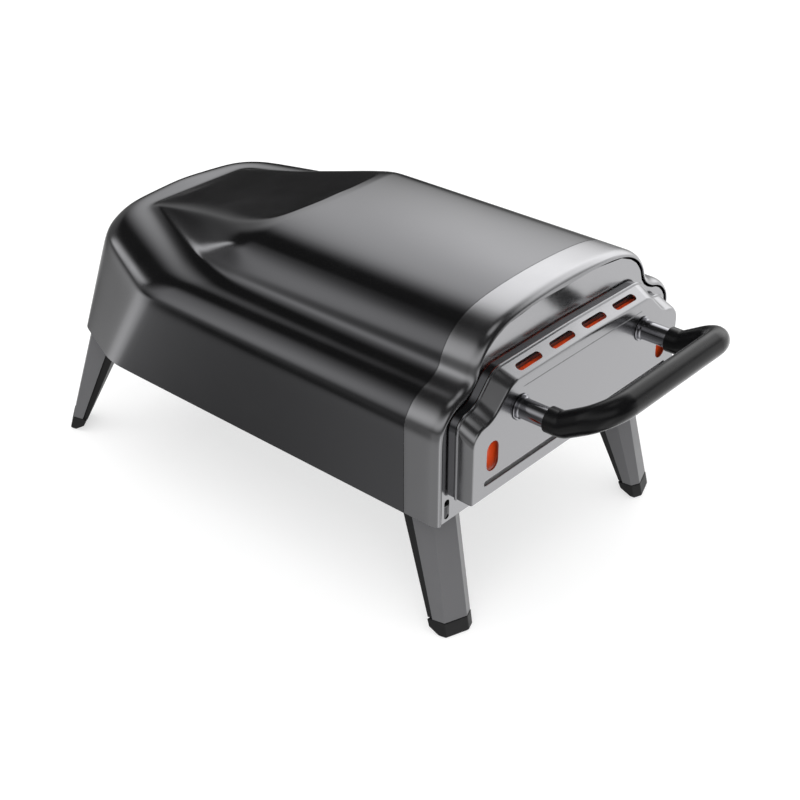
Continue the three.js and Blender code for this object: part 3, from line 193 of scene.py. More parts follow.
def new_surface(name, colour, metallic, roughness):
    """A material with a principled shader; returned with its tree, the shader and Object coordinates."""
    material = bpy.data.materials.new(name)
    material.use_nodes = True
    tree = material.node_tree
    tree.nodes.clear()
    shader = add_node(tree, "ShaderNodeBsdfPrincipled", None, {
        "Base Color": (*colour, 1), "Metallic": metallic, "Roughness": roughness})
    add_node(tree, "ShaderNodeOutputMaterial", None, {"Surface": shader.outputs[0]})
    place = add_node(tree, "ShaderNodeTexCoord")
    return material, tree, shader, place.outputs["Object"]


def shade(colour, shift):
    """The colour made darker or lighter by a share."""
    return (*[min(1.0, part * (1 + shift)) for part in colour], 1)


def grain(tree, place, period, stretch=(1, 1, 1), detail=NOISE_DETAIL):
    """Noise with a period in metres, stretched along each axis."""
    mapping = add_node(tree, "ShaderNodeMapping", None, {
        "Vector": place, "Scale": [1 / (period * s) for s in stretch]})
    noise = add_node(tree, "ShaderNodeTexNoise", None, {
        "Vector": mapping.outputs[0], "Scale": 1.0, "Detail": detail, "Roughness": NOISE_ROUGHNESS})
    return noise.outputs["Fac"]


def uneven(tree, shader, pattern, colour, shift, gloss=None):
    """Lets a pattern shift the colour by a share and, where a range is given, vary the roughness."""
    tint = add_node(tree, "ShaderNodeMix", {"data_type": "RGBA"}, {
        0: pattern, COLOUR_A: shade(colour, -shift), COLOUR_B: shade(colour, shift)})
    tree.links.new(tint.outputs[COLOUR_OUT], shader.inputs["Base Color"])
    if gloss:
        smoothest, roughest = gloss
        varied = add_node(tree, "ShaderNodeMapRange", None, {
            "Value": pattern, **NOISE_SPAN, "To Min": smoothest, "To Max": roughest})
        tree.links.new(varied.outputs[0], shader.inputs["Roughness"])
    return tint.outputs[COLOUR_OUT]


def relief(tree, shader, place, period, depth, strength, stretch=(1, 1, 1), detail=NOISE_DETAIL):
    """Raises a grain of a real period and depth from the surface."""
    bump = add_node(tree, "ShaderNodeBump", None, {
        "Height": grain(tree, place, period, stretch, detail), "Distance": depth, "Strength": strength})
    tree.links.new(bump.outputs[0], shader.inputs["Normal"])


def powder_coat(name, colour, metallic, roughness):
    """Powder-coated steel sheet: an even colour with faint orange peel and slightly uneven gloss."""
    material, tree, shader, place = new_surface(name, colour, metallic, roughness)
    cloud = grain(tree, place, PAINT_CLOUD)
    uneven(tree, shader, cloud, colour, shift=0.04, gloss=(roughness - 0.03, roughness + 0.03))
    relief(tree, shader, place, ORANGE_PEEL, ORANGE_PEEL_DEPTH, strength=0.25)
    return material


def brushed_stainless(name, colour, roughness):
    """Satin stainless sheet: fine scratches from side to side, drawn coarser than real so that they show."""
    material, tree, shader, place = new_surface(name, colour, 1.0, roughness)
    lines = grain(tree, place, SCRATCH_PITCH, SCRATCH_STRETCH, SCRATCH_DETAIL)
    cloud = grain(tree, place, STEEL_CLOUD)
    both = add_node(tree, "ShaderNodeMath", {"operation": "ADD"}, {0: lines, 1: cloud})
    mean = add_node(tree, "ShaderNodeMath", {"operation": "MULTIPLY"}, {0: both.outputs[0], 1: 0.5})
    uneven(
        tree, shader, mean.outputs[0], colour, shift=0.03, gloss=(roughness - 0.04, roughness + 0.05))
    relief(tree, shader, place, SCRATCH_PITCH, SCRATCH_DEPTH, 0.06, SCRATCH_STRETCH, SCRATCH_DETAIL)
    return material


def polished_steel(name, colour):
    """Turned and polished steel: near mirror, with faint turning marks and smears."""
    material, tree, shader, place = new_surface(name, colour, 1.0, 0.13)
    uneven(tree, shader, grain(tree, place, POLISH_SMEAR), colour, shift=0.05, gloss=(0.09, 0.19))
    relief(tree, shader, place, TURNING_PITCH, TURNING_DEPTH, 0.1, TURNING_STRETCH)
    return material


def galvanised_sheet(name, colour):
    """Hot-dip galvanised sheet: zinc spangle of crystals about 7 mm across, each with its own tone."""
    material, tree, shader, place = new_surface(name, colour, 0.9, 0.42)
    cells = add_node(tree, "ShaderNodeTexVoronoi", None, {"Vector": place, "Scale": 1 / SPANGLE})
    tone = add_node(tree, "ShaderNodeSeparateColor", None, {"Color": cells.outputs["Color"]})
    uneven(tree, shader, tone.outputs[0], colour, shift=0.12)
    gloss = add_node(tree, "ShaderNodeMapRange", None, {
        "Value": tone.outputs[1], **NOISE_SPAN, "To Min": 0.36, "To Max": 0.5})
    tree.links.new(gloss.outputs[0], shader.inputs["Roughness"])
    return material


def vitreous_enamel(name, colour, bare_below):
    """Glossy baked enamel with a little pooling in its colour, left off along the pan's lower edge; the pale
    grey of that bare strip is partly painted light that lifts the shade in the low slot.
    """
    material, tree, shader, place = new_surface(name, colour, 0.0, 0.35)
    shader.inputs["Coat Weight"].default_value = 0.4
    shader.inputs["Coat Roughness"].default_value = 0.15
    tint = uneven(tree, shader, grain(tree, place, ENAMEL_POOL), colour, shift=0.07)
    height = add_node(tree, "ShaderNodeSeparateXYZ", None, {0: place}).outputs["Z"]
    coated = add_node(tree, "ShaderNodeMath", {"operation": "GREATER_THAN"}, {0: height, 1: bare_below})
    # Below the margin the pan is bare steel in a pale grey that stands in for the light the shaded slot
    # lacks: painted light.
    tone = add_node(tree, "ShaderNodeMix", {"data_type": "RGBA"}, {
        0: coated.outputs[0], COLOUR_A: (*linear(BARE_STEEL_AND_PAINTED_LIGHT), 1), COLOUR_B: tint})
    tree.links.new(tone.outputs[COLOUR_OUT], shader.inputs["Base Color"])
    relief(tree, shader, place, ENAMEL_POOL, ENAMEL_POOL_DEPTH, strength=0.2)
    return material


def moulded_plastic(name, colour, roughness, texture=SPARK_TEXTURE, shine=0.5):
    """Moulded plastic or rubber with a fine spark-eroded texture, rubbed a little by handling."""
    material, tree, shader, place = new_surface(name, colour, 0.0, roughness)
    shader.inputs["Specular IOR Level"].default_value = shine
    wear = grain(tree, place, HANDLING_WEAR)
    uneven(tree, shader, wear, colour, shift=0.12, gloss=(roughness - 0.05, roughness + 0.06))
    relief(tree, shader, place, texture, SPARK_DEPTH, strength=0.3)
    return material


def cordierite(name, colour):
    """Fired cordierite: matt, sandy, with darker grog speckles about 2 mm across."""
    material, tree, shader, place = new_surface(name, colour, 0.0, 0.93)
    body = uneven(tree, shader, grain(tree, place, STONE_CLOUD), colour, shift=0.08)
    specks = add_node(tree, "ShaderNodeTexVoronoi", None, {"Vector": place, "Scale": 1 / GROG})
    near = add_node(tree, "ShaderNodeMapRange", None, {
        "Value": specks.outputs["Distance"], "From Min": 0.12, "From Max": 0.3,
        "To Min": 0.45, "To Max": 0.0})
    speckled = add_node(tree, "ShaderNodeMix", {"data_type": "RGBA"}, {
        0: near.outputs[0], COLOUR_A: body, COLOUR_B: shade(colour, GROG_SHADE)})
    tree.links.new(speckled.outputs[COLOUR_OUT], shader.inputs["Base Color"])
    relief(tree, shader, place, SAND, SAND_DEPTH, strength=0.4)
    return material


def ceramic_fibre(name, colour):
    """Needled ceramic fibre blanket: white, matt and woolly."""
    material, tree, shader, place = new_surface(name, colour, 0.0, 1.0)
    uneven(tree, shader, grain(tree, place, WOOL, WOOL_STRETCH, WOOL_DETAIL), colour, shift=0.15)
    relief(tree, shader, place, WOOL, WOOL_DEPTH, 0.6, WOOL_STRETCH, WOOL_DETAIL)
    return material


def glazed_ceramic(name, colour):
    """Glazed alumina with a smooth clear glaze."""
    material, tree, shader, place = new_surface(name, colour, 0.0, 0.3)
    uneven(tree, shader, grain(tree, place, GLAZE_CLOUD), colour, shift=0.05)
    return material


def machined_brass(name, colour):
    """Machined brass, a little dulled."""
    material, tree, shader, place = new_surface(name, colour, 1.0, 0.3)
    uneven(tree, shader, grain(tree, place, BRASS_CLOUD), colour, shift=0.12, gloss=(0.24, 0.4))
    return material


def make_finishes(colours):
    """Every finish by the name of its slot in the record."""
    return {
        "hood_paint": powder_coat("hood_powder_coat", colours.hood, 0.99, 0.14),
        "satin_steel": brushed_stainless("satin_stainless", colours.steel, 0.22),
        "plate_steel": brushed_stainless("fine_stainless", colours.plate, 0.16),
        "polished_steel": polished_steel("polished_steel", colours.polished),
        "orange_enamel": vitreous_enamel("orange_enamel", colours.enamel, DOOR_LOW.z + BARE_MARGIN),
        "galvanised": galvanised_sheet("galvanised_sheet", colours.galvanised),
        "stone": cordierite("cordierite_stone", colours.stone),
        "fibre": ceramic_fibre("ceramic_fibre", colours.fibre),
        "ceramic": glazed_ceramic("glazed_ceramic", colours.ceramic),
        "brass": machined_brass("machined_brass", colours.brass),
        "leg_paint": powder_coat("leg_powder_coat", colours.legs, 0.25, 0.45),
        "black_nylon": moulded_plastic("moulded_nylon", colours.nylon, 0.5),
        "rubber": moulded_plastic("moulded_rubber", colours.rubber, 0.62),
        "grip_black": moulded_plastic("phenolic_grip", colours.grip, 0.24, GRIP_TEXTURE, 0.25),
        "knob_black": moulded_plastic("phenolic_knob", colours.grip, 0.4),
    }


FINISHES = {}
NODE_SLOTS = {part["node"]: part["material_slot"] for part in frame["record"]["subparts"]}
NODE_BODIES = {
    node: body for body, nodes in frame["record"]["behaviour"]["bodies"].items() for node in nodes
}


def finish_named(slot):
    """The finish of a slot, made on first use."""
    if not FINISHES:
        FINISHES.update(make_finishes(bpy.context.scene.oven_colours))
    return FINISHES[slot]


# Pieces
def from_node(node):
    """A merged copy of a node's mesh with its flat triangles joined to whole faces."""
    bm = bmesh.new()
    bm.from_mesh(frame["nodes"][node].data)
    bmesh.ops.remove_doubles(bm, verts=bm.verts, dist=MERGE)
    bmesh.ops.dissolve_limit(bm, angle_limit=FLAT, verts=bm.verts, edges=bm.edges)
    return bm


def soften(bm, width, segments, angle):
    """Bevels every edge that is sharper than an angle in degrees."""
    sharp = [e for e in bm.edges if e.is_manifold and e.calc_face_angle(0) > math.radians(angle)]
    bmesh.ops.bevel(
        bm, geom=sharp, offset=width, offset_type="OFFSET", affect="EDGES", segments=segments,
        profile=0.5, material=-1, clamp_overlap=True)


def finish_piece(bm, name, node, sharp=38.0):
    """Turns a bmesh into a smooth-shaded piece that stands for its node and takes its finish and body."""
    mesh = bpy.data.meshes.new(name)
    for face in bm.faces:
        face.smooth = True
    bm.to_mesh(mesh)
    bm.free()
    mesh.set_sharp_from_angle(angle=math.radians(sharp))
    mesh.materials.append(finish_named(NODE_SLOTS[node]))
    piece = bpy.data.objects.new(name, mesh)
    bpy.context.scene.collection.objects.link(piece)
    shading = piece.modifiers.new("Even shading", "WEIGHTED_NORMAL")
    shading.keep_sharp = True
    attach(piece, NODE_BODIES[node])
    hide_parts(node)


def softened_copy(node, width, segments=2, angle=30.0):
    """A node's own shape with softened edges."""
    bm = from_node(node)
    soften(bm, width, segments, angle)
    finish_piece(bm, f"{node}_dressed", node)


def applied(bm, settings):
    """Runs a list of modifiers over a bmesh and returns the result as a new bmesh."""
    mesh = bpy.data.meshes.new("work")
    bm.to_mesh(mesh)
    bm.free()
    work = bpy.data.objects.new("work", mesh)
    bpy.context.scene.collection.objects.link(work)
    for kind, values in settings:
        modifier = work.modifiers.new(kind, kind)
        for key, value in values.items():
            setattr(modifier, key, value)
    bpy.context.view_layer.update()
    result = bmesh.new()
    result.from_object(work, bpy.context.evaluated_depsgraph_get())
    bpy.data.objects.remove(work)
    bpy.data.meshes.remove(mesh)
    return result


# Hood rows run from the skirt edge up to the centre of the crown. A row holds across and up at the
# seam, the bend's along and up, the corner's across, along and up, the rear end's along and up, and the
# rounding of the bend and the corner. across is a share of the half width, along of the length, up of
# the height of the body, and a rounding of CORNER_ROUND.
HOOD_ROWS = [
    (1.000, 0.000, (0.820, 0.000), (0.800, 0.997, 0.000), (1.000, 0.000), (0.7, 0.5)),
    (1.000, 0.500, (0.697, 0.527), (0.650, 0.988, 0.600), (0.993, 0.618), (0.8, 1.7)),
    (0.988, 0.551, (0.680, 0.575), (0.615, 0.983, 0.640), (0.989, 0.662), (0.8, 1.7)),
    (0.957, 0.596, (0.662, 0.613), (0.570, 0.974, 0.675), (0.982, 0.700), (0.8, 1.6)),
    (0.919, 0.632, (0.647, 0.647), (0.523, 0.962, 0.699), (0.972, 0.722), (0.8, 1.3)),
    (0.874, 0.658, (0.629, 0.667), (0.467, 0.946, 0.708), (0.953, 0.723), (0.8, 1.0)),
    (0.829, 0.670, (0.612, 0.676), (0.415, 0.930, 0.705), (0.933, 0.712), (1.2, 0.7)),
    (0.791, 0.688, (0.608, 0.689), (0.395, 0.918, 0.706), (0.918, 0.709), (1.6, 0.5)),
    (0.761, 0.710, (0.600, 0.706), (0.373, 0.909, 0.715), (0.909, 0.717), (1.8, 0.4)),
    (0.741, 0.736, (0.596, 0.722), (0.363, 0.902, 0.720), (0.901, 0.721), (1.8, 0.4)),
    (0.730, 0.769, (0.590, 0.747), (0.366, 0.879, 0.737), (0.878, 0.741), (1.8, 0.5)),
    (0.719, 0.800, (0.574, 0.777), (0.366, 0.848, 0.759), (0.847, 0.764), (1.8, 0.6)),
    (0.691, 0.840, (0.560, 0.825), (0.368, 0.783, 0.798), (0.783, 0.806), (1.3, 0.8)),
    (0.661, 0.874, (0.550, 0.863), (0.399, 0.717, 0.838), (0.717, 0.849), (0.8, 0.8)),
    (0.621, 0.903, (0.540, 0.895), (0.430, 0.651, 0.875), (0.651, 0.890), (0.7, 0.7)),
    (0.594, 0.921, (0.532, 0.914), (0.449, 0.612, 0.900), (0.612, 0.917), (0.6, 0.6)),
    (0.495, 0.964, (0.498, 0.962), (0.476, 0.518, 0.960), (0.518, 0.979), (0.1, 0.1)),
    (0.286, 0.990, (0.481, 0.988), (0.271, 0.498, 0.986), (0.498, 0.990), (0.1, 0.1)),
    (0.000, 1.000, (0.469, 1.000), (0.000, 0.481, 0.999), (0.486, 0.998), (0.1, 0.1)),
]
CORNER_ROUND = 32 * MM
ARC_STEPS = 4
SIDE_STATIONS = (0, 0.36, 0.7)

# The longest rounding, as a share of the slanted corner and of the rear run
SLANT_LIMIT = 0.35
REAR_LIMIT = 0.6


def hood_point(across, along, up):
    """A point on the left from shares of the half width, the length and the height of the body."""
    return Vector((-across * HALF_WIDTH, SEAM_Y + along * HOOD_LENGTH, SKIRT_Z + up * BODY_HEIGHT))


def arc_points(start, corner, end):
    """Points of a quadratic curve that rounds a corner."""
    shares = [k / ARC_STEPS for k in range(ARC_STEPS + 1)]
    return [start.lerp(corner, t).lerp(corner.lerp(end, t), t) for t in shares]


def hood_line(row):
    """Points of one row, from the seam round the slanted rear corner to the middle of the rear."""
    across, up, bend, corner, rear, rounding = row
    start = hood_point(across, 0, up)
    turn_in = hood_point(across, *bend)
    turn_back = hood_point(*corner)
    end = hood_point(0, *rear)
    diagonal = (turn_back - turn_in).length
    run = (end - turn_back).length
    set_in = min(rounding[0] * CORNER_ROUND, diagonal * SLANT_LIMIT)
    set_back = min(rounding[1] * CORNER_ROUND, diagonal * SLANT_LIMIT, run * REAR_LIMIT)
    inwards = (turn_back - turn_in).normalized()
    first = turn_in + (start - turn_in).normalized() * set_in
    arc_in = arc_points(first, turn_in, turn_in + inwards * set_in)
    last = turn_back + (end - turn_back).normalized() * set_back if run else turn_back
    arc_back = arc_points(turn_back - inwards * set_back, turn_back, last)
    stations = [start.lerp(first, share) for share in SIDE_STATIONS]
    return [
        *stations, *arc_in, arc_in[-1].lerp(arc_back[0], 0.5), *arc_back, arc_back[-1].lerp(end, 0.5), end]


# Seam between the halves of a shell, and the angle from which a sheet's edge is rounded
SEAM_MERGE = 0.1 * MM
HEM_ANGLE = math.radians(60)


def grid_shell(lines, sheet, levels, hem):
    """Half a shell from lines of points, mirrored, smoothed and given its sheet thickness inwards."""
    bm = bmesh.new()
    columns = len(lines[0])
    bmesh.ops.create_grid(bm, x_segments=columns - 1, y_segments=len(lines) - 1, size=1)
    bm.verts.ensure_lookup_table()
    for r, line in enumerate(lines):
        for c, point in enumerate(line):
            bm.verts[r * columns + c].co = point
    half = bm.verts[:] + bm.edges[:] + bm.faces[:]
    bmesh.ops.mirror(bm, geom=half, axis="X", merge_dist=SEAM_MERGE)
    bmesh.ops.remove_doubles(bm, verts=bm.verts, dist=MERGE)
    bmesh.ops.recalc_face_normals(bm, faces=bm.faces)
    top = max(bm.faces, key=lambda face: face.calc_center_median().z)
    if top.normal.z < 0:
        bmesh.ops.reverse_faces(bm, faces=bm.faces)
    return applied(bm, [
        ("SUBSURF", {"levels": levels, "render_levels": levels, "boundary_smooth": "PRESERVE_CORNERS"}),
        ("SOLIDIFY", {"thickness": sheet, "offset": -1, "use_even_offset": True}),
        ("BEVEL", {"width": hem, "segments": 2, "limit_method": "ANGLE", "angle_limit": HEM_ANGLE}),
    ])


# Height of the extra row, as a share of the wall
WALL_STATION = 0.8


def hood_lines():
    """The rows of the hood, with one more high on the wall that keeps it flat."""
    lines = [hood_line(row) for row in HOOD_ROWS]
    wall = [a.lerp(b, WALL_STATION) for a, b in zip(lines[0], lines[1])]
    return [lines[0], wall, *lines[1:]]


class OVEN_OT_hood(bpy.types.Operator):
    """Presses the hood: one closed sheet with a crown, a shoulder crease and slanted rear corners"""

    bl_idname = "oven.hood"
    bl_label = "Hood"

    def execute(self, context):
        sizes = context.scene.oven_sizes
        bm = grid_shell(hood_lines(), sizes.hood_sheet, sizes.smoothness, sizes.sheet_edge)
        finish_piece(bm, "hood_dressed", "hood_shell")
        return {"FINISHED"}


# The least that a mitre is taken to be, which keeps a tight turn from running out
MITRE_FLOOR = 0.5


def section_inset(points, distance):
    """The seam section moved inwards by a distance."""
    moved = []
    for i, point in enumerate(points):
        before = points[max(0, i - 1)]
        after = points[i + 1] if i + 1 < len(points) else Vector((-points[i - 1].x, 0, points[i - 1].z))
        into, out = (point - before).normalized(), (after - point).normalized()
        direction = (into + out).normalized()
        normal = Vector((direction.z, 0, -direction.x))
        mitre = max(MITRE_FLOOR, normal.dot(Vector((out.z, 0, -out.x))))
        moved.append(point + normal * distance / mitre)
    moved[0].z = points[0].z
    moved[-1].x = 0
    return moved


# The collar's middle station, as a share of its flat part, and the steps of its rolled edge
COLLAR_STATION = 0.6
ROLL_STEPS = 5


class OVEN_OT_collar(bpy.types.Operator):
    """Rolls the steel collar that wraps the front of the body"""

    bl_idname = "oven.collar"
    bl_label = "Front collar"

    def execute(self, context):
        sizes = context.scene.oven_sizes
        section = [line[0] for line in hood_lines()]
        front, rear = COLLAR_LOW.y, COLLAR_HIGH.y
        flat_end = front + sizes.collar_round
        profile = [(rear, 0.0), (rear + COLLAR_STATION * (flat_end - rear), 0.0)]
        for k in range(ROLL_STEPS + 1):
            angle = k / ROLL_STEPS * math.pi / 2
            ahead = sizes.collar_round * (1 - math.sin(angle))
            profile.append((front + ahead, sizes.collar_inset * (1 - math.cos(angle))))
        columns = [section_inset(section, inset) for _, inset in profile]
        lines = [
            [Vector((columns[c][r].x, y, columns[c][r].z)) for c, (y, _) in enumerate(profile)]
            for r in range(len(section))
        ]
        bm = grid_shell(lines, sizes.hood_sheet, sizes.smoothness, sizes.sheet_edge)
        finish_piece(bm, "front_collar_dressed", "front_collar")
        return {"FINISHED"}


class OVEN_OT_front(bpy.types.Operator):
    """Softens the front plate and the sill behind it"""

    bl_idname = "oven.front"
    bl_label = "Front plate"

    def execute(self, context):
        sizes = context.scene.oven_sizes
        softened_copy("front_plate", sizes.press_edge, segments=3)
        softened_copy("sill_plate", sizes.sheet_edge)
        return {"FINISHED"}


class OVEN_OT_door(bpy.types.Operator):
    """Dresses the door: pressed steel shell, orange pan, insulation and back plate"""

    bl_idname = "oven.door"
    bl_label = "Door"

    def execute(self, context):
        sizes = context.scene.oven_sizes
        softened_copy("door_shell", sizes.sheet_edge, segments=3, angle=35)
        softened_copy("door_pan", sizes.sheet_edge)
        softened_copy("door_insulation", sizes.sheet_edge)
        softened_copy("door_back", sizes.sheet_edge)
        return {"FINISHED"}


# Handle posts: how far the raised ring stands off the door, the lips, how thick the post is beside its
# flange, the gap to the grip, and how finely a post is turned
POST_RING = 4 * MM
POST_LIP = 0.6 * MM
POST_TO_RING = 22.5 / 29
POST_END_GAP = 0.1 * MM
TURN_STEPS = 64

# Grip: its straight start, the radii of its knee and its bend, and how finely they turn
GRIP_STRAIGHT = 16.5 * MM
GRIP_KNEE = 20 * MM
GRIP_BEND = 32 * MM
GRIP_BEND_STEPS = 16
GRIP_ROUNDNESS = 10
GRIP_LIP_STEPS = 4


def turned_piece(profile, centre):
    """Spins a profile of (radius, distance forwards) about a line that runs forwards from a point."""
    bm = bmesh.new()
    verts = [bm.verts.new(centre + Vector((radius, -along, 0))) for radius, along in profile]
    edges = [bm.edges.new(pair) for pair in zip(verts, verts[1:])]
    bmesh.ops.spin(
        bm, geom=verts + edges, cent=centre, axis=(0, 1, 0), dvec=(0, 0, 0), angle=math.tau,
        steps=TURN_STEPS, use_merge=True, use_duplicate=False)
    bmesh.ops.remove_doubles(bm, verts=bm.verts, dist=MERGE)
    bmesh.ops.recalc_face_normals(bm, faces=bm.faces)
    return bm


def handle_post(side):
    """One turned post with its flange against the door."""
    low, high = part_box(f"handle_post_{side}")
    grip_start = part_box("handle_grip")[1].y
    centre = Vector(((low.x + high.x) / 2, DOOR_Y, (low.z + high.z) / 2))
    ring = (high.x - low.x) / 2
    post = ring * POST_TO_RING
    end = DOOR_Y - grip_start - POST_END_GAP
    groove = POST_RING / 3
    profile = [
        (0, POST_LIP / 2), (ring - POST_LIP, POST_LIP / 2), (ring, POST_LIP * 1.5), (ring, groove),
        (ring - POST_LIP, groove + POST_LIP), (post + POST_LIP, groove + POST_LIP),
        (post + POST_LIP, POST_RING - POST_LIP), (post + 2 * POST_LIP, POST_RING),
        (post + POST_LIP, POST_RING + POST_LIP), (post, POST_RING + 2 * POST_LIP),
        (post, end - POST_LIP), (post - POST_LIP, end), (0, end),
    ]
    node = f"handle_post_{side}"
    finish_piece(turned_piece(profile, centre), f"{node}_dressed", node, sharp=30)


def grip_path():
    """Centre line of the grip: straight out of a post, up through a knee, and round a bend across."""
    low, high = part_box("handle_grip")
    post_low, post_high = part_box("handle_post_left")
    half = -(post_low.x + post_high.x) / 2
    thick = high.x - half
    base = (post_low.z + post_high.z) / 2
    start = Vector((half, high.y, base))
    knee = start + Vector((0, -GRIP_STRAIGHT, 0))
    tip = Vector((half, low.y + thick, high.z - thick))
    climb = (tip - knee).normalized()
    turn = math.atan2(climb.z, -climb.y)
    setback = GRIP_KNEE * math.tan(turn / 2)
    path = [start, knee + Vector((0, setback, 0))]
    path += arc_points(knee + Vector((0, setback, 0)), knee, knee + climb * setback)[1:]
    for k in range(GRIP_BEND_STEPS + 1):
        angle = k / GRIP_BEND_STEPS * math.pi / 2
        inwards = GRIP_BEND * (1 - math.cos(angle))
        back = GRIP_BEND * (1 - math.sin(angle))
        path.append(tip - Vector((inwards, 0, 0)) - climb * back)
    return path, thick


def handle_grip(sizes):
    """Sweeps the grip as one bent bar with rounded ends."""
    half, radius = grip_path()
    path = half + [Vector((-p.x, p.y, p.z)) for p in reversed(half)]
    curve = bpy.data.curves.new("grip_line", "CURVE")
    curve.dimensions = "3D"
    curve.bevel_depth = radius
    curve.bevel_resolution = GRIP_ROUNDNESS
    curve.use_fill_caps = True
    spline = curve.splines.new("POLY")
    spline.points.add(len(path) - 1)
    for point, place in zip(spline.points, path):
        point.co = (*place, 1)
    line = bpy.data.objects.new("grip_line", curve)
    bpy.context.scene.collection.objects.link(line)
    bpy.context.view_layer.update()
    bm = bmesh.new()
    bm.from_mesh(line.to_mesh())
    bpy.data.objects.remove(line)
    bmesh.ops.remove_doubles(bm, verts=bm.verts, dist=MERGE)
    caps = [f for f in bm.faces if len(f.verts) > 4]
    rims = list({e for f in caps for e in f.edges})
    bmesh.ops.bevel(
        bm, geom=rims, offset=sizes.grip_lip, offset_type="OFFSET", affect="EDGES",
        segments=GRIP_LIP_STEPS, profile=0.5, material=-1, clamp_overlap=True)
    bmesh.ops.recalc_face_normals(bm, faces=bm.faces)
    finish_piece(bm, "handle_grip_dressed", "handle_grip")


class OVEN_OT_handle(bpy.types.Operator):
    """Makes the bent grip, its two turned posts and their nuts"""

    bl_idname = "oven.handle"
    bl_label = "Handle"

    def execute(self, context):
        sizes = context.scene.oven_sizes
        handle_grip(sizes)
        for side in SIDES:
            handle_post(side)
            softened_copy(f"handle_nut_{side}", sizes.sheet_edge)
        return {"FINISHED"}


class OVEN_OT_chamber(bpy.types.Operator):
    """Dresses the base pan and the chamber: liner, blanket, rear wall, stone and its rails"""

    bl_idname = "oven.chamber"
    bl_label = "Chamber"

    def execute(self, context):
        sizes = context.scene.oven_sizes
        softened_copy("base_pan", sizes.press_edge / 2)
        softened_copy("pizza_stone", sizes.moulded_edge * 1.5, segments=3)
        for node in ("chamber_liner", "chamber_rear_wall", "stone_rail_left", "stone_rail_right"):
            softened_copy(node, sizes.sheet_edge)
        softened_copy("insulation_blanket", sizes.moulded_edge)
        return {"FINISHED"}


class OVEN_OT_burner(bpy.types.Operator):
    """Dresses the burner, its saddles, the flame guard and the electrode"""

    bl_idname = "oven.burner"
    bl_label = "Burner"

    def execute(self, context):
        sizes = context.scene.oven_sizes
        for node in ("burner_tube", "burner_saddle_left", "burner_saddle_right", "flame_guard"):
            softened_copy(node, sizes.sheet_edge)
        softened_copy("igniter_electrode", sizes.sheet_edge, segments=3)
        return {"FINISHED"}


class OVEN_OT_gas(bpy.types.Operator):
    """Dresses the gas valve, its bracket, the inlet, the stem and the knob"""

    bl_idname = "oven.gas"
    bl_label = "Gas controls"

    def execute(self, context):
        sizes = context.scene.oven_sizes
        for node in ("gas_valve", "valve_bracket", "valve_stem", "gas_inlet"):
            softened_copy(node, sizes.sheet_edge, angle=35)
        softened_copy("control_knob", sizes.sheet_edge, angle=40)
        return {"FINISHED"}


class OVEN_OT_legs(bpy.types.Operator):
    """Dresses the four folding legs with their cores, shoes, pins and brackets"""

    bl_idname = "oven.legs"
    bl_label = "Legs"

    def execute(self, context):
        sizes = context.scene.oven_sizes
        for row, side in CORNERS:
            softened_copy(f"leg_cover_{row}_{side}", sizes.sheet_edge, segments=3, angle=15)
            softened_copy(f"leg_core_{row}_{side}", sizes.moulded_edge / 2, angle=15)
            softened_copy(f"leg_shoe_{row}_{side}", sizes.moulded_edge, segments=3, angle=15)
            softened_copy(f"leg_pin_{row}_{side}", sizes.sheet_edge)
            softened_copy(f"leg_bracket_{row}_{side}", sizes.sheet_edge)
        return {"FINISHED"}


# Stage. The camera is the one that fits the photograph; its place is taken from the floor below the
# middle of the door.
CAMERA_AZIMUTH = -48.63
CAMERA_ELEVATION = 31.3
CAMERA_FROM_DOOR = Vector((-1141.0, -743.7, 1040.8)) * MM
CAMERA_LENS = 65.74
CAMERA_SENSOR = 36.0

# Lamps: azimuth and elevation in degrees, distance and size in metres, and brightness
LAMP_TARGET = Vector((0, 0, 0.2))
SOFTBOXES = {
    "overhead": (0, 89.9, 2.6, (5.0, 5.0), 1.2),
    "right_rear": (95, 30, 3.4, (3.0, 2.0), 1.4),
    "front_left": (-56, 22, 3.0, (3.0, 2.0), 2.2),
}

# Paper floor: its size and grey, and the distances in metres between which its lift rises
FLOOR_SIZE = 60.0
PAPER_GREY = 0.5
PAPER_NEAR = 0.9
PAPER_FAR = 2.4
PAPER_LIFT_NEAR = 0.58
PAPER_LIFT_FAR = 1.0

# Brightness of the surround where it lights the oven; where it is seen it is white
WORLD_LEVEL = 0.45

# Studio tent, which only reflections see: dim, with soft bright windows. Each has an azimuth with its
# half width and softness, an elevation with its half height and softness, and a brightness. Angles are
# in degrees; those below 0 stand for the studio floor.
TENT_RADIUS = 9.0
TENT_GLOW = 0.04
TENT_FINENESS = 4
TENT_WINDOWS = {
    "right wall": ((105, 45, 20), (36, 16, 12), 1.85),
    "right wall, lower panes": ((100, 30, 5), (20, 15, 6), 0.7),
    "right floor": ((70, 35, 25), (-20, 40, 5), 1.2),
    "left wall": ((-90, 70, 10), (30, 15, 14), 0.75),
    "left rear strip": ((-133, 5, 15), (15, 10, 20), 0.95),
    "rear strip": ((-173, 3, 3), (15, 7, 4), 2.3),
    "rear floor": ((-158, 10, 16), (-15, 14, 6), 1.8),
    "rear wall": ((175, 25, 5), (-5, 25, 5), 0.2),
    "left floor": ((-75, 60, 10), (-45, 22, 5), 0.45),
    "left wall, foot": ((-65, 55, 15), (-12, 12, 8), 0.27),
    "front floor": ((0, 40, 15), (-40, 30, 8), 0.75),
    "right rear floor": ((125, 45, 15), (-42, 30, 6), 0.45),
    "ceiling": ((0, 180, 1), (90, 12, 6), 0.6),
}


def direction_of(azimuth, elevation):
    """Unit vector towards a place round the object; azimuth 0 is in front and 90 is to the right."""
    a, e = math.radians(azimuth), math.radians(elevation)
    return Vector((math.sin(a) * math.cos(e), -math.cos(a) * math.cos(e), math.sin(e)))


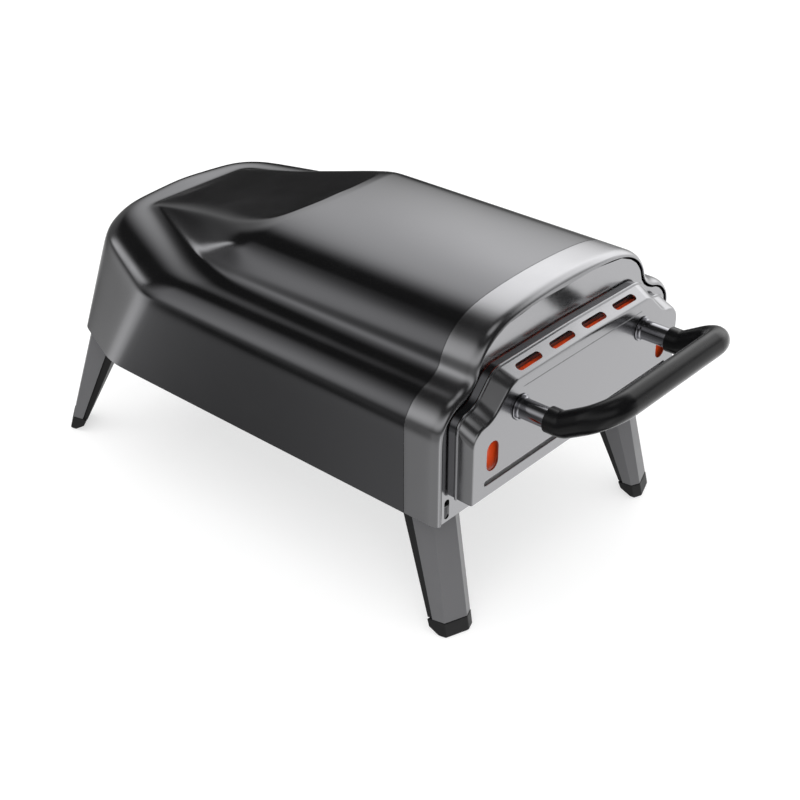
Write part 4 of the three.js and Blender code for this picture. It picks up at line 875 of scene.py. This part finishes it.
def aimed(name, data, place, target):
    """An object at a place that looks at a target."""
    made = bpy.data.objects.new(name, data)
    made.location = place
    made.rotation_mode = "QUATERNION"
    made.rotation_quaternion = (target - place).to_track_quat("-Z", "Y")
    bpy.context.scene.collection.objects.link(made)
    return made


def softbox(name, azimuth, elevation, distance, size, brightness):
    """An area lamp of an even brightness that lights matt surfaces; the tent is what metal shows."""
    lamp = bpy.data.lights.new(name, "AREA")
    lamp.shape = "RECTANGLE"
    lamp.size, lamp.size_y = size
    lamp.energy = brightness * math.pi * size[0] * size[1]
    place = LAMP_TARGET + direction_of(azimuth, elevation) * distance
    made = aimed(name, lamp, place, LAMP_TARGET)
    made.visible_camera = False
    made.visible_glossy = False


def seen_directly(tree):
    """1 for rays from the camera, in reflections and through glass, and 0 for those that carry light."""
    path = add_node(tree, "ShaderNodeLightPath")
    seen = path.outputs["Is Camera Ray"]
    for ray in ("Is Glossy Ray", "Is Transmission Ray"):
        seen = add_node(tree, "ShaderNodeMath", {"operation": "MAXIMUM"}, {
            0: seen, 1: path.outputs[ray]}).outputs[0]
    return seen


def pale_paper():
    """Matt pale studio paper, lifted a little for the camera near the oven and to white further off."""
    material, tree, shader, place = new_surface("studio_paper", [PAPER_GREY] * 3, 0.0, 1.0)
    shader.inputs["Specular IOR Level"].default_value = 0.0
    away = add_node(tree, "ShaderNodeVectorMath", {"operation": "LENGTH"}, {0: place})
    white = add_node(tree, "ShaderNodeMapRange", {"interpolation_type": "SMOOTHSTEP"}, {
        "Value": away.outputs["Value"], "From Min": PAPER_NEAR, "From Max": PAPER_FAR,
        "To Min": PAPER_LIFT_NEAR, "To Max": PAPER_LIFT_FAR})
    lift = add_node(tree, "ShaderNodeMath", {"operation": "MULTIPLY"}, {
        0: seen_directly(tree), 1: white.outputs[0]})
    shader.inputs["Emission Color"].default_value = WHITE
    tree.links.new(lift.outputs[0], shader.inputs["Emission Strength"])
    return material


def lay_floor():
    """A wide sheet of paper for the oven's shadow; reflections see the tent's lower half in its place."""
    bm = bmesh.new()
    bmesh.ops.create_grid(bm, x_segments=1, y_segments=1, size=FLOOR_SIZE / 2)
    mesh = bpy.data.meshes.new("paper_floor")
    bm.to_mesh(mesh)
    bm.free()
    mesh.materials.append(pale_paper())
    floor = bpy.data.objects.new("paper_floor", mesh)
    floor.visible_glossy = False
    bpy.context.scene.collection.objects.link(floor)


def tent_strength(tree, place):
    """Adds the windows to the dim grey of the tent."""
    towards = add_node(tree, "ShaderNodeVectorMath", {"operation": "NORMALIZE"}, {0: place}).outputs[0]
    flat = add_node(tree, "ShaderNodeVectorMath", {"operation": "MULTIPLY"}, {0: towards, 1: (1, 1, 0)})
    heading = add_node(tree, "ShaderNodeVectorMath", {"operation": "NORMALIZE"}, {0: flat.outputs[0]})
    height = add_node(tree, "ShaderNodeSeparateXYZ", None, {0: towards}).outputs["Z"]
    rise = add_node(tree, "ShaderNodeMath", {"operation": "ARCSINE"}, {0: height}).outputs[0]
    total = TENT_GLOW
    for (azimuth, *width), (elevation, *tall), brightness in TENT_WINDOWS.values():
        facing = add_node(tree, "ShaderNodeVectorMath", {"operation": "DOT_PRODUCT"}, {
            0: heading.outputs[0], 1: direction_of(azimuth, 0)})
        aside = add_node(tree, "ShaderNodeMath", {"operation": "ARCCOSINE"}, {0: facing.outputs["Value"]})
        away = add_node(tree, "ShaderNodeMath", {"operation": "SUBTRACT"}, {
            0: rise, 1: math.radians(elevation)})
        apart = add_node(tree, "ShaderNodeMath", {"operation": "ABSOLUTE"}, {0: away.outputs[0]})
        edges = []
        for angle, (half, soft), full in ((aside, width, 1.0), (apart, tall, brightness)):
            edge = add_node(tree, "ShaderNodeMapRange", {"interpolation_type": "SMOOTHSTEP"}, {
                "Value": angle.outputs[0], "From Min": math.radians(half + soft),
                "From Max": math.radians(half - soft), "To Min": 0.0, "To Max": full})
            edges.append(edge.outputs[0])
        window = add_node(tree, "ShaderNodeMath", {"operation": "MULTIPLY"}, {0: edges[0], 1: edges[1]})
        total = add_node(tree, "ShaderNodeMath", {"operation": "ADD"}, {
            0: window.outputs[0], 1: total}).outputs[0]
    return total


def stand_tent():
    """A sphere round the stage that carries the windows and that only reflections see."""
    bm = bmesh.new()
    bmesh.ops.create_icosphere(bm, subdivisions=TENT_FINENESS, radius=TENT_RADIUS)
    bmesh.ops.reverse_faces(bm, faces=bm.faces)
    mesh = bpy.data.meshes.new("studio_tent")
    bm.to_mesh(mesh)
    bm.free()
    material = bpy.data.materials.new("studio_tent_card")
    material.use_nodes = True
    tree = material.node_tree
    tree.nodes.clear()
    place = add_node(tree, "ShaderNodeTexCoord").outputs["Object"]
    glow = add_node(tree, "ShaderNodeEmission", None, {
        "Color": WHITE, "Strength": tent_strength(tree, place)})
    add_node(tree, "ShaderNodeOutputMaterial", None, {"Surface": glow.outputs[0]})
    mesh.materials.append(material)
    tent = bpy.data.objects.new("studio_tent", mesh)
    for ray in ("camera", "diffuse", "shadow", "transmission", "volume_scatter"):
        setattr(tent, f"visible_{ray}", False)
    bpy.context.scene.collection.objects.link(tent)


def make_world():
    """A surround that is white where it is seen and at a plain level where it lights the oven."""
    world = bpy.data.worlds.new("studio")
    bpy.context.scene.world = world
    world.use_nodes = True
    tree = world.node_tree
    tree.nodes.clear()
    level = add_node(tree, "ShaderNodeMapRange", None, {
        "Value": seen_directly(tree), "To Min": WORLD_LEVEL, "To Max": 1.0})
    sky = add_node(tree, "ShaderNodeBackground", None, {"Color": WHITE, "Strength": level.outputs[0]})
    add_node(tree, "ShaderNodeOutputWorld", None, {"Surface": sky.outputs[0]})


class OVEN_OT_stage(bpy.types.Operator):
    """Sets up the camera, the lamps, the surround, the paper floor and the tent"""

    bl_idname = "oven.stage"
    bl_label = "Stage"

    def execute(self, context):
        scene = context.scene
        scene.view_settings.view_transform = "Standard"
        lens = bpy.data.cameras.new("camera")
        lens.lens = CAMERA_LENS
        lens.sensor_width = CAMERA_SENSOR
        place = CAMERA_FROM_DOOR + Vector((0, DOOR_Y, 0))
        towards = -direction_of(CAMERA_AZIMUTH, CAMERA_ELEVATION)
        scene.camera = aimed("camera", lens, place, place + towards)
        for name, settings in SOFTBOXES.items():
            softbox(name, *settings)
        make_world()
        lay_floor()
        stand_tent()
        return {"FINISHED"}


class OVEN_PT_panel(bpy.types.Panel):
    """Lists the pieces of the oven"""

    bl_idname = "OVEN_PT_panel"
    bl_label = "Pizza oven"
    bl_space_type = "VIEW_3D"
    bl_region_type = "UI"
    bl_category = "Oven"

    def draw(self, context):
        for operator in OPERATORS:
            self.layout.operator(operator.bl_idname)
        for group in (context.scene.oven_sizes, context.scene.oven_colours):
            box = self.layout.box()
            for key in group.__annotations__:
                box.prop(group, key)


OPERATORS = (
    OVEN_OT_stage, OVEN_OT_hood, OVEN_OT_collar, OVEN_OT_front, OVEN_OT_door, OVEN_OT_handle,
    OVEN_OT_chamber, OVEN_OT_burner, OVEN_OT_gas, OVEN_OT_legs,
)
CLASSES = (OvenSizes, OvenColours, *OPERATORS, OVEN_PT_panel)


def register():
    for kind in CLASSES:
        bpy.utils.register_class(kind)
    bpy.types.Scene.oven_sizes = PointerProperty(type=OvenSizes)
    bpy.types.Scene.oven_colours = PointerProperty(type=OvenColours)


def unregister():
    del bpy.types.Scene.oven_colours
    del bpy.types.Scene.oven_sizes
    for kind in reversed(CLASSES):
        bpy.utils.unregister_class(kind)


def main():
    """Builds everything in order."""
    register()
    bpy.ops.oven.stage()
    bpy.ops.oven.hood()
    bpy.ops.oven.collar()
    bpy.ops.oven.front()
    bpy.ops.oven.door()
    bpy.ops.oven.handle()
    bpy.ops.oven.chamber()
    bpy.ops.oven.burner()
    bpy.ops.oven.gas()
    bpy.ops.oven.legs()


if __name__ == "__main__":
    main()
